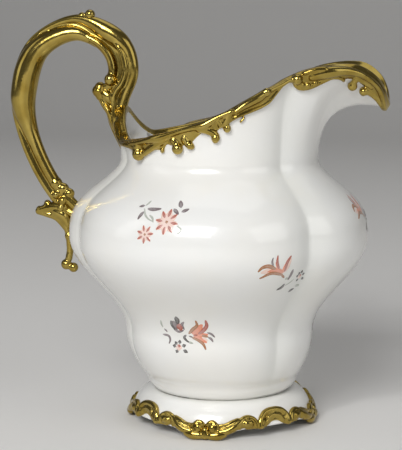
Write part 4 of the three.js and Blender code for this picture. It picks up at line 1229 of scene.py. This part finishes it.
class CREAMER_OT_foot_gilding(bpy.types.Operator):
    """Makes the gilded band round the foot and the four scroll feet"""

    bl_idname = "creamer.foot_gilding"
    bl_label = "Foot gilding"

    def execute(self, context):
        sizes, gilt = context.scene.creamer_sizes, context.scene.creamer_gilt
        dome = FootDome(sizes)
        angles = np.linspace(0, 360, FOOT_BAND_COLUMNS, endpoint=False)
        edge = dome.edge(angles)
        away = dome.from_scroll(angles)
        high = edge + through(FOOT_GILT_HIGH, away) * MM
        low = edge + through(FOOT_GILT_LOW, away) * MM
        middle = (low + high) / 2
        section = (
            (high, -gilt.sunk),
            (high, gilt.ground),
            (middle, gilt.ground * FOOT_GILT_SWELL),
            (low, gilt.ground),
            (low, -gilt.sunk),
        )
        shells = [Shell([dome.place(angles, z, lift) for z, lift in section], looped=True)]
        for _, foot_angle in SCROLL_FEET:
            shells += self.scrolls(dome, gilt, foot_angle, FOOT_SCROLLS)
        gilded(context, "foot_gilding", shells, ["foot_band"])
        for place, foot_angle in SCROLL_FEET:
            lobes = self.scrolls(dome, gilt, foot_angle, SCROLL_FOOT_LOBES)
            gilded(context, f"scroll_foot_gilding_{place}", lobes, [f"scroll_foot_{place}"])
        return {"FINISHED"}

    @staticmethod
    def scrolls(dome, gilt, foot_angle, group):
        """Scrolls of the relief on both sides of a scroll foot."""
        made = []
        for points in group:
            away, z, width = trail(points, POINTS_PER_KNOT * len(points)).T
            z, width = z * MM, width * MM
            for side in (1, -1):
                angle = foot_angle + side * away
                path = dome.place(angle, z, gilt.ground)
                made.append(scroll(path, dome.normal(angle, z), width, gilt))
        return made


class CREAMER_OT_handle(bpy.types.Operator):
    """Makes the gilded handle: its strands, beads, leaf curl, bud, spur and tail"""

    bl_idname = "creamer.handle"
    bl_label = "Handle"

    ACROSS = np.array((0.0, -1.0, 0.0))

    def execute(self, context):
        loop = self.loop(context)
        share = np.linspace(0, 1, len(loop))
        tangent = unit(np.gradient(loop, axis=0))
        outward = np.stack([-tangent[:, 2], tangent[:, 1], tangent[:, 0]], 1)
        half = through(LOOP_THICKNESS, share) * MM / 2

        edges = ((INNER_STRAND, -1), (LIMB_STRAND, 1), (OUTER_STRAND, 1))
        shells = [self.edge_strand(loop, outward, half, share, *edge) for edge in edges]
        width = through(LOOP_CORE, share) * MM
        shells.append(strand(loop, self.ACROSS, width, np.minimum(width, CORE_DEPTH * MM), PLANE_SIDES))
        shells += [self.plane_strand(points, depth) for points, depth in HANDLE_STRANDS]
        for points in FACE_STRANDS:
            shells += [self.plane_strand(points, 1.0, side * FACE_BESIDE) for side in (1, -1)]
        shells += self.beads(HOOK_BALL, HOOK_BESIDE)
        shells += self.beads(ROOT_BEADS)
        shells += self.beads(ROOT_KNUCKLES, ROOT_BESIDE)
        nodes = ["handle_loop", "handle_upper_lute", "handle_lower_lute"]
        gilded(context, "handle_gilding", shells, nodes)
        gilded(context, "thumb_bud_gilding", self.beads(THUMB_BEADS), ["thumb_bud"])
        gilded(context, "leaf_curl_gilding", [self.plane_strand(LEAF_BALL)], ["leaf_curl"])
        spur = [self.plane_strand(points) for points in (SPUR_STRAND, SPUR_LEAF, SPUR_WEB)]
        gilded(context, "spur_gilding", spur + self.beads(SPUR_BEADS), ["handle_spur"])
        tail = [self.plane_strand(TAIL_STRAND), *self.beads(TAIL_BEADS)]
        gilded(context, "tail_gilding", tail, ["handle_tail"])
        return {"FINISHED"}

    @staticmethod
    def loop(context):
        """The middle line of the loop, from the belly over the crown to the rim."""
        sizes, gilt = context.scene.creamer_sizes, context.scene.creamer_gilt
        wall = Wall(sizes)
        out_x = -(sizes.belly_radius + gilt.handle_reach)
        stem_x = -(sizes.neck_radius + RIM_FLARE[-1][1] + sizes.lip_wall / 2)
        root_z, crown_z = wall.belly_z + gilt.root_rise, wall.neck_z + gilt.crown_rise
        start = (2 * sizes.wall - sizes.belly_radius, root_z - LOOP_THICKNESS[0][1] * MM / 2)
        middle = [(lerp(out_x, stem_x, out), lerp(root_z, crown_z, up)) for out, up in LOOP_POINTS]
        end = (stem_x + sizes.lip_wall, lerp(root_z, crown_z, LOOP_END_RISE))
        line = trail([start, *middle, end], LOOP_STATIONS)
        return np.stack([line[:, 0], np.zeros(len(line)), line[:, 1]], 1)

    def edge_strand(self, loop, outward, half, share, widths, side):
        """A strand along one edge of the loop; an outer one rises from the loop's middle and sinks back."""
        first, last = widths[0][0], widths[-1][0]
        kept = (share >= first) & (share <= last)
        at = share[kept]
        width = through(widths, at) * MM
        risen = ease(at, first, first + STRAND_RISES) * ease(at, last, last - STRAND_RISES)
        out = half[kept] - width
        offset = out * risen if side > 0 else -out
        path = loop[kept] + outward[kept] * offset[:, None]
        return strand(path, self.ACROSS, width, width * STRAND_DEPTH, LOOP_SIDES)

    def plane_strand(self, points, depth=1.0, beside=0.0):
        """A strand through points in the plane of the handle, or beside it."""
        out, up, width = trail(points, POINTS_PER_KNOT * len(points)).T * MM
        path = np.stack([out, np.full(len(out), beside * MM), up], 1)
        return strand(path, self.ACROSS, width, width * depth, PLANE_SIDES)

    @staticmethod
    def beads(places, beside=0.0):
        """Balls in the plane of the handle, or on both its faces."""
        faces = (beside, -beside) if beside else (0,)
        return [ball(np.array((x, y, z)) * MM, radius * MM) for x, z, radius in places for y in faces]


class CREAMER_OT_sprigs(bpy.types.Operator):
    """Paints the scattered flower sprigs in thin enamels"""

    bl_idname = "creamer.sprigs"
    bl_label = "Flower sprigs"

    def execute(self, context):
        self.wall = Wall(context.scene.creamer_sizes)
        self.strokes = {paint: [] for paint in PAINT_LIFTS}
        for sprig in DAISY_SPRIGS:
            for flower in DAISIES:
                self.daisy(sprig, *flower)
            self.picture(sprig, DAISY_LEAVES)
        for sprig in TULIP_SPRIGS:
            self.picture(sprig, TULIP_STROKES)
            self.dark_flower(sprig, *TULIP_FLOWER)
        for sprig in BUD_SPRIGS:
            self.picture(sprig, BUD_STROKES)
            self.dark_flower(sprig, *BUD_FLOWER)
        finish = context.scene.creamer_finish
        for paint, strokes in self.strokes.items():
            shells, along, edge = zip(*strokes)
            mesh = new_mesh(f"sprigs_{paint}", shells)
            store(mesh, "along", np.concatenate(along))
            store(mesh, "edge", np.concatenate(edge))
            material = enamel(f"enamel_{paint}", tuple(getattr(finish, f"enamel_{paint}")))
            new_piece(f"sprigs_{paint}", mesh, material)
        return {"FINISHED"}

    def picture(self, sprig, strokes):
        """All the strokes of a sprig."""
        for paint, widest, *points in strokes:
            self.stroke(paint, sprig, points, widest)

    def stroke(self, paint, sprig, points, widest):
        """One brush stroke through points about a sprig's place: across and up, in millimetres."""
        centre_angle, centre_z, turn = sprig
        flat = trail(points, STROKE_POINTS)
        lean = np.radians(turn)
        across = flat[:, 0] * np.cos(lean) - flat[:, 1] * np.sin(lean)
        upward = flat[:, 0] * np.sin(lean) + flat[:, 1] * np.cos(lean)
        climb = self.wall.climb_at((centre_z + upward) * MM)
        radius = self.wall.outline(centre_angle, self.wall.climb_at(centre_z * MM))[0]
        angle = centre_angle + np.degrees(across * MM / radius)
        share = np.linspace(0, 1, len(flat))
        full = np.sin(np.pi * share ** STROKE_FULLNESS) ** STROKE_FULLNESS
        swell = STROKE_END + (1 - STROKE_END) * full
        width = widest / 2 * swell * MM
        path = self.wall.place(angle, climb, PAINT_LIFTS[paint] * MM)
        normal = self.wall.normal(angle, climb)
        shell = strand(path, normal, width, PAINT_DEPTH * MM * swell, STROKE_SIDES)
        spread = np.pad(share, len(END_RINGS), mode="edge")
        along = np.concatenate([np.repeat(spread, STROKE_SIDES), [0, 1]])
        rim = np.cos(np.linspace(0, 2 * np.pi, STROKE_SIDES, endpoint=False)) ** 2
        edge = np.concatenate([np.tile(rim, len(spread)), [1, 1]])
        self.strokes[paint].append((shell, along, edge))

    def petal(self, paint, sprig, at, aim, start, end, widest):
        """A stroke from start to end along an aim, in degrees, from a point of the sprig."""
        turn = np.radians(aim)
        ahead = np.array((np.cos(turn), np.sin(turn)))
        points = [at + ahead * reach for reach in (start, (start + end) / 2, end)]
        self.stroke(paint, sprig, points, widest)

    def daisy(self, sprig, at, petals, start, end, lean):
        """A round flower of even petals over a pale wash, with a brown heart."""
        for i in range(petals):
            aim = 360 / petals * i + lean
            self.petal("red", sprig, at, aim, start, end, end * PETAL_WIDTH)
            self.petal("wash", sprig, at, aim, start * WASH_STARTS, end * WASH_ENDS, end * WASH_WIDTH)
        heart = end * HEART_REACH
        self.petal("brown", sprig, at, HEART_AIM, -heart, heart, end * HEART_WIDTH)

    def dark_flower(self, sprig, at, size):
        """A small flower of dark petals round a red heart, over a pale wash."""
        at = np.array(at)
        reach, widest = np.array(DARK_WASH) * size
        self.petal("wash", sprig, at, 0, -reach, reach, widest)
        for petal in np.array(DARK_PETALS) * size:
            points = [at + petal * end for end in DARK_PETAL_ENDS]
            self.stroke("dark", sprig, points, DARK_PETAL_WIDTH * size)
        reach, widest = np.array(DARK_HEART) * size
        self.petal("red", sprig, at + np.array(DARK_HEART_AT) * size, 0, -reach, reach, widest)


class CREAMER_OT_stage(bpy.types.Operator):
    """Makes the plain sweep, the soft lights and the camera"""

    bl_idname = "creamer.stage"
    bl_label = "Stage"

    def execute(self, context):
        studio = context.scene.creamer_studio
        self.sweep(studio)
        axis = Vector((AXIS_X, 0, 0))
        aim = axis + Vector(LIGHT_AIM)
        for name, place, size in LIGHTS:
            self.light(name, place, aim, size, getattr(studio, f"{name}_power"))
        world = bpy.data.worlds.new("room")
        world.use_nodes = True
        world.node_tree.nodes["Background"].inputs["Color"].default_value = (*studio.room, 1)
        context.scene.world = world
        camera = bpy.data.objects.new("camera", bpy.data.cameras.new("camera"))
        camera.data.lens = studio.lens
        camera.data.clip_start = CAMERA_CLIP
        camera.location = axis + Vector(studio.camera_at)
        gaze = Vector(studio.camera_aim) - Vector(studio.camera_at)
        camera.rotation_euler = gaze.to_track_quat("-Z", "Y").to_euler()
        context.scene.collection.objects.link(camera)
        context.scene.camera = camera
        context.scene.view_settings.view_transform = "Standard"
        return {"FINISHED"}

    @staticmethod
    def sweep(studio):
        """A floor that curves up into a backdrop."""
        turns = np.radians(np.linspace(0, 90, SWEEP_STEPS))
        bent = [(SWEEP_BACK + SWEEP_BEND * np.sin(turn), SWEEP_BEND * (1 - np.cos(turn))) for turn in turns]
        curve = [(SWEEP_FRONT, 0.0), *bent, (SWEEP_BACK + SWEEP_BEND, SWEEP_HEIGHT)]
        points = [(x, y, z) for y, z in curve for x in (-SWEEP_REACH, SWEEP_REACH)]
        faces = [(2 * i, 2 * i + 1, 2 * i + 3, 2 * i + 2) for i in range(len(curve) - 1)]
        mesh = bpy.data.meshes.new("sweep")
        mesh.from_pydata(points, [], faces)
        mesh.shade_smooth()
        shader = Shader("sweep", base_color=tuple(studio.sweep), roughness=SWEEP_ROUGHNESS)
        mesh.materials.append(shader.material)
        sweep = bpy.data.objects.new("sweep", mesh)
        bpy.context.scene.collection.objects.link(sweep)

    @staticmethod
    def light(name, place, aim, size, power):
        """A soft rectangular light."""
        lamp = bpy.data.lights.new(name, "AREA")
        lamp.shape = "RECTANGLE"
        lamp.size, lamp.size_y = size
        lamp.energy = power
        holder = bpy.data.objects.new(name, lamp)
        holder.location = place
        holder.rotation_euler = (aim - Vector(place)).to_track_quat("-Z", "Y").to_euler()
        bpy.context.scene.collection.objects.link(holder)


class CREAMER_PT_panel(bpy.types.Panel):
    """Lists the steps that build the creamer"""

    bl_idname = "CREAMER_PT_panel"
    bl_label = "Creamer"
    bl_space_type = "VIEW_3D"
    bl_region_type = "UI"
    bl_category = "Creamer"

    def draw(self, context):
        for step in STEPS:
            self.layout.operator(step.bl_idname)
        for group in GROUPS:
            box = self.layout.box()
            values = getattr(context.scene, group)
            for name in values.__annotations__:
                box.prop(values, name)


STEPS = (
    CREAMER_OT_body,
    CREAMER_OT_foot,
    CREAMER_OT_rim,
    CREAMER_OT_foot_gilding,
    CREAMER_OT_handle,
    CREAMER_OT_sprigs,
    CREAMER_OT_stage,
)
GROUPS = {
    "creamer_sizes": CreamerSizes,
    "creamer_gilt": GiltSizes,
    "creamer_finish": CreamerFinish,
    "creamer_studio": CreamerStudio,
}


def register():
    for group in GROUPS.values():
        bpy.utils.register_class(group)
    for name, group in GROUPS.items():
        setattr(bpy.types.Scene, name, PointerProperty(type=group))
    for step in STEPS:
        bpy.utils.register_class(step)
    bpy.utils.register_class(CREAMER_PT_panel)


def unregister():
    bpy.utils.unregister_class(CREAMER_PT_panel)
    for step in reversed(STEPS):
        bpy.utils.unregister_class(step)
    for name in GROUPS:
        delattr(bpy.types.Scene, name)
    for group in reversed(GROUPS.values()):
        bpy.utils.unregister_class(group)


def main():
    register()
    bpy.ops.creamer.body()
    bpy.ops.creamer.foot()
    bpy.ops.creamer.rim()
    bpy.ops.creamer.foot_gilding()
    bpy.ops.creamer.handle()
    bpy.ops.creamer.sprigs()
    bpy.ops.creamer.stage()


if __name__ == "__main__":
    main()
